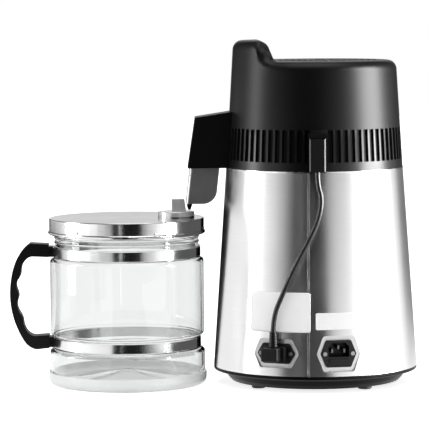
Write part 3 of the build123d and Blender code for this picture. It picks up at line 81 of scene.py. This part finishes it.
# Light: one softbox above, and the world's plain fill
softbox_size = 1.3
softbox_height = 1.7
softbox_forward = 0.25
softbox_power = 12.0
softbox_aim = 0.2
world_fill = 0.9

# A floor and a background that are white for the camera and through glass
white_strength = 1.0
floor_size = 14.0
floor_paper = (0.8, 0.8, 0.8, 1)
floor_glow = 0.8
# What reflections see of the surroundings, from behind the object (-1) round to the camera's side (1)
sky_stops = [
    (-1.0, 0.72), (-0.985, 0.72), (-0.96, 0.08), (-0.82, 0.08), (-0.68, 0.3),
    (-0.3, 0.3), (0.2, 0.25), (0.6, 0.15), (0.9, 0.05),
]
sky_top = 1.3
# and of the floor, which is brightest beside the object and darkens behind it and towards the camera
floor_bright = 1.3
floor_dim = 0.18
floor_back = (-0.9, -0.1)
floor_front = (1.1, 2.2)

# Bright cards at the sides, by their angle to the right of the camera as seen from the boiler
glow_distance = 1.3
glow_top = 1.1
glow_cards = {
    "right_card": {"angle": 80.0, "width": 0.80, "strength": 34.0},
    "left_card": {"angle": -84.0, "width": 0.30, "strength": 12.0},
}
# Low white cards round the front, which shade the steel from white to dark: from one angle to another, with
# the strength of their foot, which the jar's steel reflects, and above it, which the casing reflects
low_distance = 1.2
low_foot = 0.12
low_top = 0.32
low_cards = [
    (-136.0, -116.0, 0.28, 1.0), (-116.0, -105.0, 0.5, 1.0), (-105.0, -96.0, 0.8, 1.0),
    (-76.0, -58.0, 1.3, 2.0), (-58.0, -46.0, 0.62, 2.1), (-46.0, -36.0, 0.32, 1.25),
    (16.0, 24.0, 0.12, 0.8), (24.0, 32.0, 0.2, 1.5), (32.0, 40.0, 0.45, 1.6), (40.0, 62.0, 1.0, 1.6),
    (98.0, 126.0, 0.9, 1.0),
]
# A dark card in front, with dark wedges on the floor before it and a thin bright strip for the jar's bands
dark_distance = 1.0
dark_left = -0.52
dark_right = 0.25
dark_top = 1.3
wedge_lift = 0.001
boiler_wedge_gap = 0.01
jar_wedge_r = 0.1
strip_left = -0.32
strip_right = -0.285
strip_gap = 0.01
strip_glow = 2.5
# A divider between the vessels, white on the casing's side in front of its middle and dark behind that
divider_front = 0.08
divider_middle = 0.018
divider_back = -0.12
divider_top = 0.205
divider_glow = 1.05
divider_far_glow = 0.12

# The cord's route about the boiler's axis, in millimetres, from the head's plug to the relief
cord_route = [
    (-2.1, -107.3, 250.0),
    (-2.1, -107.3, 236.0),
    (2.8, -111.5, 220.0),
    (-1.0, -113.2, 198.0),
    (-12.1, -114.6, 174.0),
    (-26.8, -114.1, 147.5),
    (-41.1, -112.2, 116.0),
    (-52.8, -109.7, 88.0),
    (-52.8, -109.7, 71.0),
]
cord_diameter = 5.5 * millimetre
cord_order = 3
cord_steps = 16
cord_sides = 6

# Blank plates and the weld seam on the casing
left_plate = {"azimuths": (227.5, 264.5), "heights": (0.070, 0.1148)}
right_plate = {"azimuths": (267.4, 292.0), "heights": (0.0730, 0.0920)}
plate_stand = 0.15 * millimetre
plate_thickness = 0.12 * millimetre
plate_corner = 1.5 * millimetre
plate_columns = 48
plate_rows = 24
seam_azimuth = 263.2
seam_spread = 0.8 * millimetre
seam_rib = 0.3 * millimetre
seam_height = 0.15 * millimetre
seam_rows = 40
seam_sides = 6

# Sockets of the mix node by kind: its first value, its second value and its result
mix_sockets = {"FLOAT": (2, 3, 0), "RGBA": (6, 7, 2)}
white = (1, 1, 1, 1)
no_light = (0, 0, 0, 1)


# Small helpers for node trees
def new_material(name):
    material = bpy.data.materials.new(name)
    material.use_nodes = True
    tree = material.node_tree
    return material, tree, tree.nodes["Principled BSDF"]


def add_node(tree, kind, **settings):
    made = tree.nodes.new(kind)
    for key, value in settings.items():
        setattr(made, key, value)
    return made


def feed(tree, value, socket):
    """Links an output to a socket, or sets the socket to a value."""
    if isinstance(value, bpy.types.NodeSocket):
        tree.links.new(value, socket)
    else:
        socket.default_value = value


def calculate(tree, operation, first, second=0.0, third=0.0):
    made = add_node(tree, "ShaderNodeMath", operation=operation)
    feed(tree, first, made.inputs[0])
    feed(tree, second, made.inputs[1])
    feed(tree, third, made.inputs[2])
    return made.outputs["Value"]


def mixed(tree, kind, chooser, first, second):
    """The first value, the second or a mix of them, as the chooser goes from zero to one."""
    made = add_node(tree, "ShaderNodeMix", data_type=kind)
    first_socket, second_socket, result = mix_sockets[kind]
    feed(tree, chooser, made.inputs["Factor"])
    feed(tree, first, made.inputs[first_socket])
    feed(tree, second, made.inputs[second_socket])
    return made.outputs[result]


def split_up(tree, vector):
    made = add_node(tree, "ShaderNodeSeparateXYZ")
    tree.links.new(vector, made.inputs["Vector"])
    return made.outputs


def place_of(tree):
    """Coordinates in the row frame, which move with the piece."""
    return add_node(tree, "ShaderNodeTexCoord").outputs["Object"]


def round_place_of(tree, axis_x):
    """Angle round an upright axis in radians, height, and distance from the axis."""
    place = split_up(tree, place_of(tree))
    across = calculate(tree, "SUBTRACT", place["X"], axis_x)
    across_square = calculate(tree, "MULTIPLY", across, across)
    along_square = calculate(tree, "MULTIPLY", place["Y"], place["Y"])
    squares = calculate(tree, "ADD", across_square, along_square)
    joined = add_node(tree, "ShaderNodeCombineXYZ")
    feed(tree, calculate(tree, "ARCTAN2", place["Y"], across), joined.inputs["X"])
    feed(tree, place["Z"], joined.inputs["Y"])
    feed(tree, calculate(tree, "SQRT", squares), joined.inputs["Z"])
    return joined.outputs["Vector"]


def stretched(tree, vector, factors):
    made = add_node(tree, "ShaderNodeVectorMath", operation="MULTIPLY")
    tree.links.new(vector, made.inputs[0])
    made.inputs[1].default_value = factors
    return made.outputs["Vector"]


def mapped(tree, value, source, target, kind):
    """A number moved from one range to another, and held at the ends."""
    made = add_node(tree, "ShaderNodeMapRange", interpolation_type=kind)
    tree.links.new(value, made.inputs["Value"])
    made.inputs["From Min"].default_value = source[0]
    made.inputs["From Max"].default_value = source[1]
    made.inputs["To Min"].default_value = target[0]
    made.inputs["To Max"].default_value = target[1]
    return made.outputs["Result"]


def stepped(tree, value, source, target):
    """A smooth change from one number to another over a range."""
    return mapped(tree, value, source, target, "SMOOTHSTEP")


# Textures that the materials share
texture_range = (0.3, 0.7)
rich_detail = 3.0
plain_detail = 2.0
texture_roughness = 0.55
rough_spread = 0.04
bump_depth = 0.05 * millimetre


def noise(tree, vector, scale, detail=rich_detail):
    made = add_node(tree, "ShaderNodeTexNoise")
    tree.links.new(vector, made.inputs["Vector"])
    made.inputs["Scale"].default_value = scale
    made.inputs["Detail"].default_value = detail
    made.inputs["Roughness"].default_value = texture_roughness
    return made.outputs["Fac"]


def ranged(tree, value, low, high):
    """A texture's middle range spread between two numbers."""
    return mapped(tree, value, texture_range, (low, high), "LINEAR")


def either_side(tree, value, middle, spread):
    """A texture spread to both sides of a number."""
    return ranged(tree, value, middle - spread, middle + spread)


def shaded(tree, value, colour, spread):
    """A colour that varies by a share of itself either way."""
    darker = [part * (1 - spread) for part in colour] + [1]
    lighter = [part * (1 + spread) for part in colour] + [1]
    return mixed(tree, "RGBA", ranged(tree, value, 0.0, 1.0), darker, lighter)


def bumped(tree, shader, height, strength, distance=bump_depth):
    made = add_node(tree, "ShaderNodeBump")
    made.inputs["Strength"].default_value = strength
    made.inputs["Distance"].default_value = distance
    tree.links.new(height, made.inputs["Height"])
    tree.links.new(made.outputs["Normal"], shader.inputs["Normal"])


# Brushed steel: waves of its grain and smears per radian round the axis, and per metre along and across it
grain_waves = (3.0, 4200.0, 4200.0)
smear_waves = (2.0, 25.0, 25.0)
grain_shade = 0.05
grain_rough = 0.03
smear_rough = 0.015
grain_bump = 0.02
grain_turn = 0.25  # a quarter turn


def brushed_steel(name, axis_x, colour, roughness, anisotropic):
    """Sheet steel with fine grain lines that run round an upright axis."""
    material, tree, shader = new_material(name)
    place = round_place_of(tree, axis_x)
    lines = noise(tree, stretched(tree, place, grain_waves), 1.0)
    smears = noise(tree, stretched(tree, place, smear_waves), 1.0, plain_detail)
    feed(tree, shaded(tree, lines, colour, grain_shade), shader.inputs["Base Color"])
    lines_rough = either_side(tree, lines, roughness, grain_rough)
    smears_rough = either_side(tree, smears, 0.0, smear_rough)
    feed(tree, calculate(tree, "ADD", lines_rough, smears_rough), shader.inputs["Roughness"])
    shader.inputs["Metallic"].default_value = 1.0
    shader.inputs["Anisotropic"].default_value = anisotropic
    shader.inputs["Anisotropic Rotation"].default_value = grain_turn
    tangent = add_node(tree, "ShaderNodeTangent", direction_type="RADIAL", axis="Z")
    tree.links.new(tangent.outputs["Tangent"], shader.inputs["Tangent"])
    bumped(tree, shader, lines, grain_bump)
    return material


metal_fine = 900.0
metal_broad = 60.0
metal_shade = 0.06
metal_bump = 0.03


def plain_metal(name, colour, roughness, metallic=1.0):
    """Plated, turned or cast metal with faint uneven handling marks."""
    material, tree, shader = new_material(name)
    place = place_of(tree)
    fine = noise(tree, place, metal_fine)
    broad = noise(tree, place, metal_broad)
    feed(tree, shaded(tree, broad, colour, metal_shade), shader.inputs["Base Color"])
    feed(tree, either_side(tree, fine, roughness, rough_spread), shader.inputs["Roughness"])
    shader.inputs["Metallic"].default_value = metallic
    bumped(tree, shader, fine, metal_bump)
    return material


mould_broad = 35.0
mould_specular = 0.5
mould_shade = 0.12
pale_shade = 0.03  # on pale plastics, where more would show as stains


def moulded(name, colour, roughness, texture, scale, specular=mould_specular, shade=mould_shade):
    """Moulded plastic or rubber with the fine texture of its mould."""
    material, tree, shader = new_material(name)
    place = place_of(tree)
    fine = noise(tree, place, scale, plain_detail)
    broad = noise(tree, place, mould_broad)
    feed(tree, shaded(tree, broad, colour, shade), shader.inputs["Base Color"])
    feed(tree, either_side(tree, fine, roughness, rough_spread), shader.inputs["Roughness"])
    shader.inputs["Specular IOR Level"].default_value = specular
    bumped(tree, shader, fine, texture)
    return material


slot_edge_depth = 0.5 * millimetre
slot_dull_depth = 1.0 * millimetre
slot_dullness = 0.6
vent_texture = 2600.0
vent_bump = 0.04


def slotted_plastic(name, colour, roughness, specular):
    """Glossy moulded plastic that is dull inside the ring's slots."""
    material, tree, shader = new_material(name)
    place = split_up(tree, round_place_of(tree, boiler_x))
    rise = calculate(tree, "SUBTRACT", place["Y"], ring_low.z)
    reach = calculate(tree, "ADD", place["Z"], calculate(tree, "MULTIPLY", rise, head_slope))
    dull = stepped(tree, reach, (ring_r - slot_dull_depth, ring_r - slot_edge_depth), (slot_dullness, 0.0))
    fine = noise(tree, place_of(tree), vent_texture, plain_detail)
    feed(tree, shaded(tree, fine, colour, mould_shade), shader.inputs["Base Color"])
    rough = calculate(tree, "ADD", either_side(tree, fine, roughness, rough_spread), dull)
    feed(tree, rough, shader.inputs["Roughness"])
    shader.inputs["Specular IOR Level"].default_value = specular
    bumped(tree, shader, fine, vent_bump)
    return material


glass_tint = (0.955, 0.96, 0.96)
glass_shade = 0.004
glass_index = 1.47
glass_waves = 28.0
glass_detail = 1.0
glass_bump = 0.06
glass_depth = 0.4 * millimetre


def clear_glass(name):
    """Moulded glass, very slightly uneven, that lets plain light through to what it holds."""
    material, tree, shader = new_material(name)
    waves = noise(tree, place_of(tree), glass_waves, glass_detail)
    feed(tree, shaded(tree, waves, glass_tint, glass_shade), shader.inputs["Base Color"])
    shader.inputs["Roughness"].default_value = 0.0
    shader.inputs["IOR"].default_value = glass_index
    shader.inputs["Transmission Weight"].default_value = 1.0
    path = add_node(tree, "ShaderNodeLightPath")
    lit = calculate(tree, "MAXIMUM", path.outputs["Is Shadow Ray"], path.outputs["Is Diffuse Ray"])
    feed(tree, calculate(tree, "SUBTRACT", 1.0, lit), shader.inputs["Alpha"])
    bumped(tree, shader, waves, glass_bump, glass_depth)
    return material


milky_white = (0.89, 0.90, 0.90)
milky_shade = 0.02
milky_clouds = 40.0
milky_texture = 1500.0
milky_roughness = 0.32
milky_scatter = 0.35
milky_radius = (0.004, 0.004, 0.004)
milky_bump = 0.02


def milky_plastic(name):
    """Translucent white moulded plastic."""
    material, tree, shader = new_material(name)
    place = place_of(tree)
    clouds = noise(tree, place, milky_clouds)
    fine = noise(tree, place, milky_texture, plain_detail)
    feed(tree, shaded(tree, clouds, milky_white, milky_shade), shader.inputs["Base Color"])
    feed(tree, either_side(tree, fine, milky_roughness, rough_spread), shader.inputs["Roughness"])
    shader.inputs["Subsurface Weight"].default_value = milky_scatter
    shader.inputs["Subsurface Radius"].default_value = milky_radius
    bumped(tree, shader, fine, milky_bump)
    return material


film_fibres = 700.0
film_broad = 45.0
film_shade = 0.02
film_rough_spread = 0.05
film_bump = 0.04


def printed_film(name, colour, roughness):
    """The film of a blank plate."""
    material, tree, shader = new_material(name)
    place = place_of(tree)
    fibres = noise(tree, place, film_fibres)
    broad = noise(tree, place, film_broad)
    feed(tree, shaded(tree, broad, colour, film_shade), shader.inputs["Base Color"])
    feed(tree, either_side(tree, fibres, roughness, film_rough_spread), shader.inputs["Roughness"])
    bumped(tree, shader, fibres, film_bump)
    return material


weave_waves = 420.0
weave_distortion = 2.0
weave_shade = 0.15
weave_roughness = 0.9
weave_bump = 0.4
weave_depth = 0.2 * millimetre


def cloth_weave(name, colour):
    """Plain woven filter cloth."""
    material, tree, shader = new_material(name)
    weave = add_node(tree, "ShaderNodeTexWave", wave_type="BANDS", bands_direction="DIAGONAL")
    tree.links.new(place_of(tree), weave.inputs["Vector"])
    weave.inputs["Scale"].default_value = weave_waves
    weave.inputs["Distortion"].default_value = weave_distortion
    feed(tree, shaded(tree, weave.outputs["Fac"], colour, weave_shade), shader.inputs["Base Color"])
    shader.inputs["Roughness"].default_value = weave_roughness
    bumped(tree, shader, weave.outputs["Fac"], weave_bump, weave_depth)
    return material


# The look of each material slot
black = (0.0018, 0.0018, 0.0019)
slot_materials = {
    "casing_steel": brushed_steel(
        "casing_steel_look", boiler_x, colour=(0.78, 0.78, 0.785), roughness=0.34, anisotropic=0.8),
    "bright_steel": brushed_steel(
        "bright_steel_look", jar_x, colour=(0.72, 0.72, 0.725), roughness=0.2, anisotropic=0.5),
    "fasteners": plain_metal("fasteners_look", colour=(0.75, 0.75, 0.76), roughness=0.18),
    "black_plastic": moulded(
        "black_plastic_look", colour=black, roughness=0.38, texture=0.05, scale=2600.0, specular=0.2),
    "socket_plastic": moulded(
        "socket_plastic_look", colour=(0.004, 0.004, 0.0043), roughness=0.38, texture=0.05, scale=2200.0,
        specular=0.3),
    "cord_sheath": moulded(
        "cord_sheath_look", colour=(0.006, 0.006, 0.0064), roughness=0.34, texture=0.06, scale=1500.0),
    "black_rubber": moulded(
        "black_rubber_look", colour=(0.008, 0.008, 0.008), roughness=0.62, texture=0.15, scale=1800.0),
    "seal_rubber": moulded(
        "seal_rubber_look", colour=(0.74, 0.74, 0.72), roughness=0.55, texture=0.08, scale=1500.0,
        specular=0.4, shade=pale_shade),
    "heater_metal": plain_metal("heater_metal_look", colour=(0.6, 0.6, 0.61), roughness=0.42),
    "element_sheath": plain_metal("element_sheath_look", colour=(0.16, 0.15, 0.14), roughness=0.5),
    "inner_plastic": moulded(
        "inner_plastic_look", colour=(0.70, 0.70, 0.68), roughness=0.42, texture=0.05, scale=1500.0,
        shade=pale_shade),
    "dark_works": moulded(
        "dark_works_look", colour=(0.03, 0.03, 0.033), roughness=0.45, texture=0.10, scale=1500.0),
    "shaft_steel": plain_metal("shaft_steel_look", colour=(0.66, 0.66, 0.67), roughness=0.22),
    "button_red": moulded(
        "button_red_look", colour=(0.50, 0.025, 0.02), roughness=0.25, texture=0.03, scale=1500.0),
    "fuse_body": moulded(
        "fuse_body_look", colour=(0.78, 0.78, 0.76), roughness=0.15, texture=0.02, scale=900.0,
        shade=pale_shade),
    "sachet_cloth": cloth_weave("sachet_cloth_look", colour=(0.78, 0.76, 0.72)),
    "clear_glass": clear_glass("clear_glass_look"),
    "milky_plastic": milky_plastic("milky_plastic_look"),
    "black_metal": plain_metal("black_metal_look", colour=(0.012, 0.012, 0.0125), roughness=0.5),
}
# Pieces whose finish differs from the rest of their slot
node_materials = {
    "vent_ring": slotted_plastic("vent_look", colour=black, roughness=0.3, specular=0.3),
    "base_pan": moulded("pan_look", colour=black, roughness=0.4, texture=0.05, scale=2600.0, specular=0.1),
    "socket_screws": plain_metal("screw_look", colour=(0.4, 0.4, 0.41), roughness=0.35),
    "spout_chute": plain_metal("chute_look", colour=(0.42, 0.42, 0.425), roughness=0.42),
    "mains_inlet_pins": plain_metal("pin_look", colour=(0.16, 0.16, 0.16), roughness=0.4),
    "inlet_cap": plain_metal("cap_look", colour=(0.75, 0.75, 0.76), roughness=0.22, metallic=0.6),
}
# and of the pieces made here
left_film = printed_film("left_plate_look", colour=(0.86, 0.86, 0.86), roughness=0.35)
right_film = printed_film("right_plate_look", colour=(0.90, 0.90, 0.90), roughness=0.4)
seam_metal = plain_metal("seam_look", colour=(0.22, 0.22, 0.22), roughness=0.5)

slot_of = {part["node"]: part["material_slot"] for part in frame["record"]["subparts"]}
for name, piece in nodes.items():
    piece.data.materials.clear()
    piece.data.materials.append(node_materials.get(name, slot_materials[slot_of[name]]))


# Pieces made here
def cord_point(number):
    return boiler_axis + Vector(cord_route[number]) * millimetre


def make_cord():
    """The fan's cord, from the head's plug down to the relief."""
    curve = bpy.data.curves.new("fan_cord_line", "CURVE")
    curve.dimensions = "3D"
    spline = curve.splines.new("NURBS")
    spline.points.add(len(cord_route) - 1)
    for number, point in enumerate(spline.points):
        point.co = (*cord_point(number), 1)
    spline.order_u = cord_order
    spline.use_endpoint_u = True
    spline.resolution_u = cord_steps
    curve.bevel_depth = cord_diameter / 2
    curve.bevel_resolution = cord_sides
    curve.materials.append(slot_materials["cord_sheath"])
    cord = bpy.data.objects.new("fan_cord_sheath", curve)
    bpy.context.scene.collection.objects.link(cord)
    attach(cord, "boiler")
    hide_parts("fan_cord")


def casing_r(z):
    """Outer radius of the casing at a height."""
    share = (z - casing_low.z) / casing_height
    return casing_bottom_r + (casing_top_r - casing_bottom_r) * share


def on_casing(azimuth, z, proud):
    """A point on the casing, or a little out from it."""
    r = casing_r(z) + proud
    return Vector((boiler_x + r * cos(radians(azimuth)), r * sin(radians(azimuth)), z))


def join_rows(mesh, rows):
    """Faces between rows of corners."""
    for lower, upper in zip(rows, rows[1:]):
        for k in range(len(lower) - 1):
            mesh.faces.new((lower[k], lower[k + 1], upper[k + 1], upper[k]))


def add_trim(name, mesh, material):
    """A smooth piece of trim on the casing."""
    data = bpy.data.meshes.new(name)
    mesh.to_mesh(data)
    mesh.free()
    data.polygons.foreach_set("use_smooth", [True] * len(data.polygons))
    data.materials.append(material)
    piece = bpy.data.objects.new(name, data)
    bpy.context.scene.collection.objects.link(piece)
    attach(piece, "boiler")
    return piece


def corner_cut(edge):
    """How far a round corner cuts into a row, by the row's distance from the plate's edge."""
    if edge >= plate_corner:
        return 0.0
    return plate_corner - (plate_corner ** 2 - (plate_corner - edge) ** 2) ** 0.5


def make_plate(name, azimuths, heights, material):
    """A blank plate with rounded corners, laid round the casing."""
    first, last = azimuths
    low, high = heights
    width = radians(last - first) * casing_r((low + high) / 2)
    mesh = bmesh.new()
    rows = []
    for j in range(plate_rows + 1):
        z = low + (high - low) * j / plate_rows
        turn = (last - first) * corner_cut(min(z - low, high - z)) / width
        span = (last - first) - 2 * turn
        rows.append([
            mesh.verts.new(on_casing(first + turn + span * i / plate_columns, z, plate_stand))
            for i in range(plate_columns + 1)])
    join_rows(mesh, rows)
    plate = add_trim(name, mesh, material)
    thicken = plate.modifiers.new("thickness", "SOLIDIFY")
    thicken.thickness = plate_thickness
    thicken.offset = -1.0


def seam_row(mesh, side, z):
    """Corners across one of the seam's ribs at a height."""
    row = []
    for k in range(seam_sides + 1):
        bend = pi * k / seam_sides
        across = side * seam_spread - seam_rib * cos(bend)
        azimuth = seam_azimuth + degrees(across / casing_r(z))
        row.append(mesh.verts.new(on_casing(azimuth, z, seam_height * sin(bend))))
    return row


def make_seam():
    """The casing's weld seam, two fine ribs from the base to the rim."""
    mesh = bmesh.new()
    heights = [casing_low.z + casing_height * j / seam_rows for j in range(seam_rows + 1)]
    for side in (-1, 1):
        join_rows(mesh, [seam_row(mesh, side, z) for z in heights])
    add_trim("casing_seam", mesh, seam_metal)


make_cord()
make_plate("left_plate", **left_plate, material=left_film)
make_plate("right_plate", **right_plate, material=right_film)
make_seam()


# The stage: world, floor, cards that only reflections see, the lamp and the camera
def towards(angle):
    """Level direction from the boiler at an angle to the right of the camera."""
    azimuth = radians(camera_azimuth + angle)
    return Vector((cos(azimuth), sin(azimuth), 0))


def up(z):
    return Vector((0, 0, z))


def in_front(across, distance, z):
    """A point in front of the boiler, measured across the view and towards the camera."""
    return boiler_axis + towards(right_angle) * across + towards(0) * distance + up(z)


def along_view(tree, vector):
    """How far a vector points towards the camera's side."""
    made = add_node(tree, "ShaderNodeVectorMath", operation="DOT_PRODUCT")
    tree.links.new(vector, made.inputs[0])
    made.inputs[1].default_value = towards(0)
    return made.outputs["Value"]


def graded(tree, value, stops, top):
    """A number that changes along stops given between -1 and 1."""
    made = add_node(tree, "ShaderNodeValToRGB")
    feed(tree, calculate(tree, "MULTIPLY_ADD", value, 0.5, 0.5), made.inputs["Fac"])
    marks = made.color_ramp.elements
    while len(marks) < len(stops):
        marks.new(0.5)
    for mark, (place, level) in zip(marks, stops):
        mark.position = (place + 1) / 2
        mark.color = (level / top, level / top, level / top, 1)
    return calculate(tree, "MULTIPLY", made.outputs["Color"], top)


def make_world():
    """White for the camera and through glass, a plain fill, and for reflections dim in front."""
    world = bpy.data.worlds.new("studio")
    world.use_nodes = True
    bpy.context.scene.world = world
    tree = world.node_tree
    background = tree.nodes["Background"]
    background.inputs["Color"].default_value = white
    path = add_node(tree, "ShaderNodeLightPath").outputs
    way = add_node(tree, "ShaderNodeTexCoord").outputs["Generated"]
    level_way = add_node(tree, "ShaderNodeVectorMath", operation="NORMALIZE")
    tree.links.new(stretched(tree, way, (1, 1, 0)), level_way.inputs[0])
    sky = graded(tree, along_view(tree, level_way.outputs["Vector"]), sky_stops, sky_top)
    strength = mixed(tree, "FLOAT", path["Is Glossy Ray"], world_fill, sky)
    strength = mixed(tree, "FLOAT", path["Is Transmission Ray"], strength, white_strength)
    strength = mixed(tree, "FLOAT", path["Is Camera Ray"], strength, white_strength)
    tree.links.new(strength, background.inputs["Strength"])


def make_floor():
    """A white floor that keeps the object's shadow, and in reflections darkens towards the camera."""
    bpy.ops.mesh.primitive_plane_add(size=floor_size, location=(0, 0, 0))
    floor = bpy.context.object
    floor.name = "floor"
    material, tree, shader = new_material("floor_look")
    path = add_node(tree, "ShaderNodeLightPath").outputs
    ahead = along_view(tree, add_node(tree, "ShaderNodeNewGeometry").outputs["Position"])
    from_behind = stepped(tree, ahead, floor_back, (0.0, floor_bright - floor_dim))
    to_front = stepped(tree, ahead, floor_front, (1.0, 0.0))
    sheen = calculate(tree, "MULTIPLY_ADD", from_behind, to_front, floor_dim)
    glow = calculate(tree, "MULTIPLY", path["Is Camera Ray"], floor_glow)
    glow = mixed(tree, "FLOAT", path["Is Glossy Ray"], glow, sheen)
    glow = mixed(tree, "FLOAT", path["Is Transmission Ray"], glow, white_strength)
    shiny = calculate(tree, "MAXIMUM", path["Is Glossy Ray"], path["Is Transmission Ray"])
    feed(tree, mixed(tree, "RGBA", shiny, floor_paper, no_light), shader.inputs["Base Color"])
    feed(tree, glow, shader.inputs["Emission Strength"])
    shader.inputs["Emission Color"].default_value = white
    shader.inputs["Specular IOR Level"].default_value = 0.0
    floor.data.materials.append(material)


def add_card(name, corners, glow):
    """A flat card that only reflections see: dark, or glowing like a softbox."""
    data = bpy.data.meshes.new(name)
    data.from_pydata(corners, [], [tuple(range(len(corners)))])
    card = bpy.data.objects.new(name, data)
    bpy.context.scene.collection.objects.link(card)
    material, tree, shader = new_material(name + "_look")
    shader.inputs["Base Color"].default_value = no_light
    shader.inputs["Specular IOR Level"].default_value = 0.0
    shader.inputs["Emission Color"].default_value = white
    feed(tree, glow, shader.inputs["Emission Strength"])
    data.materials.append(material)
    card.visible_camera = False
    card.visible_diffuse = False
    card.visible_transmission = False
    card.visible_shadow = False
    return card


def upright_card(name, first, last, low, high, glow):
    """An upright card between two points of the floor and two heights."""
    return add_card(name, [first + up(low), last + up(low), last + up(high), first + up(high)], glow)


def front_card(name, left, right, distance, top, glow):
    """An upright card across the view, in front of the boiler."""
    upright_card(name, in_front(left, distance, 0), in_front(right, distance, 0), 0, top, glow)


def floor_wedge(name, axis_across, radius):
    """A dark wedge on the floor, from a vessel's foot out to the dark card."""
    share = radius / dark_distance
    near_left = axis_across + (dark_left - axis_across) * share
    near_right = axis_across + (dark_right - axis_across) * share
    add_card(name, [
        in_front(near_left, radius, wedge_lift), in_front(near_right, radius, wedge_lift),
        in_front(dark_right, dark_distance, wedge_lift), in_front(dark_left, dark_distance, wedge_lift)], 0.0)


def glow_card(name, angle, width, strength):
    """A bright upright card at the side, facing the boiler."""
    middle = boiler_axis + towards(angle) * glow_distance
    side = towards(angle + right_angle) * width / 2
    upright_card(name, middle - side, middle + side, 0, glow_top, strength)


def low_card(name, first, last, low, high, strength):
    """A low white card round the front, between two angles and two heights."""
    start = boiler_axis + towards(first) * low_distance
    end = boiler_axis + towards(last) * low_distance
    upright_card(name, start, end, low, high, strength)


def divider_half(name, back, front):
    across = (casing_low.x + cup_edge_x) / 2 - boiler_x
    return upright_card(name, in_front(across, back, 0), in_front(across, front, 0), 0, divider_top, 0.0)


def make_divider():
    """An upright card between the jar and the boiler: white on the boiler's side in front, dark behind."""
    divider_half("divider_shade", divider_back, divider_middle)
    card = divider_half("divider", divider_middle, divider_front)
    tree = card.data.materials[0].node_tree
    behind = add_node(tree, "ShaderNodeNewGeometry").outputs["Backfacing"]
    glow = mixed(tree, "FLOAT", behind, divider_far_glow, divider_glow)
    tree.links.new(glow, tree.nodes["Principled BSDF"].inputs["Emission Strength"])


def facing(place, target):
    """The turn of a lamp or camera that looks from a place to a target."""
    return (target - place).to_track_quat("-Z", "Y")


def make_softbox():
    light = bpy.data.lights.new("top_softbox", "AREA")
    light.shape = "SQUARE"
    light.size = softbox_size
    light.energy = softbox_power
    lamp = bpy.data.objects.new("top_softbox", light)
    bpy.context.scene.collection.objects.link(lamp)
    lamp.location = in_front(0, softbox_forward, softbox_height)
    lamp.rotation_euler = facing(lamp.location, boiler_axis + up(softbox_aim)).to_euler()
    lamp.visible_camera = False


def make_camera():
    data = bpy.data.cameras.new("camera")
    data.sensor_width = camera_sensor_mm
    data.lens = camera_lens_mm
    camera = bpy.data.objects.new("camera", data)
    bpy.context.scene.collection.objects.link(camera)
    camera.location = in_front(0, camera_distance, camera_height)
    level = facing(camera.location, in_front(-aim_left, 0, aim_height))
    camera.rotation_euler = (level @ Quaternion((0, 0, 1), radians(camera_roll))).to_euler()
    bpy.context.scene.camera = camera


bpy.context.scene.view_settings.view_transform = "Standard"
make_world()
make_floor()
front_card("dark_card", dark_left, dark_right, dark_distance, dark_top, 0.0)
front_card("strip_card", strip_left, strip_right, dark_distance - strip_gap, low_foot, strip_glow)
floor_wedge("boiler_wedge", 0.0, casing_bottom_r + boiler_wedge_gap)
floor_wedge("jar_wedge", jar_x - boiler_x, jar_wedge_r)
for card_name, card in glow_cards.items():
    glow_card(card_name, **card)
for count, (first, last, foot_strength, strength) in enumerate(low_cards):
    low_card(f"foot_card_{count}", first, last, 0.0, low_foot, foot_strength)
    low_card(f"low_card_{count}", first, last, low_foot, low_top, strength)
make_divider()
make_softbox()
make_camera()
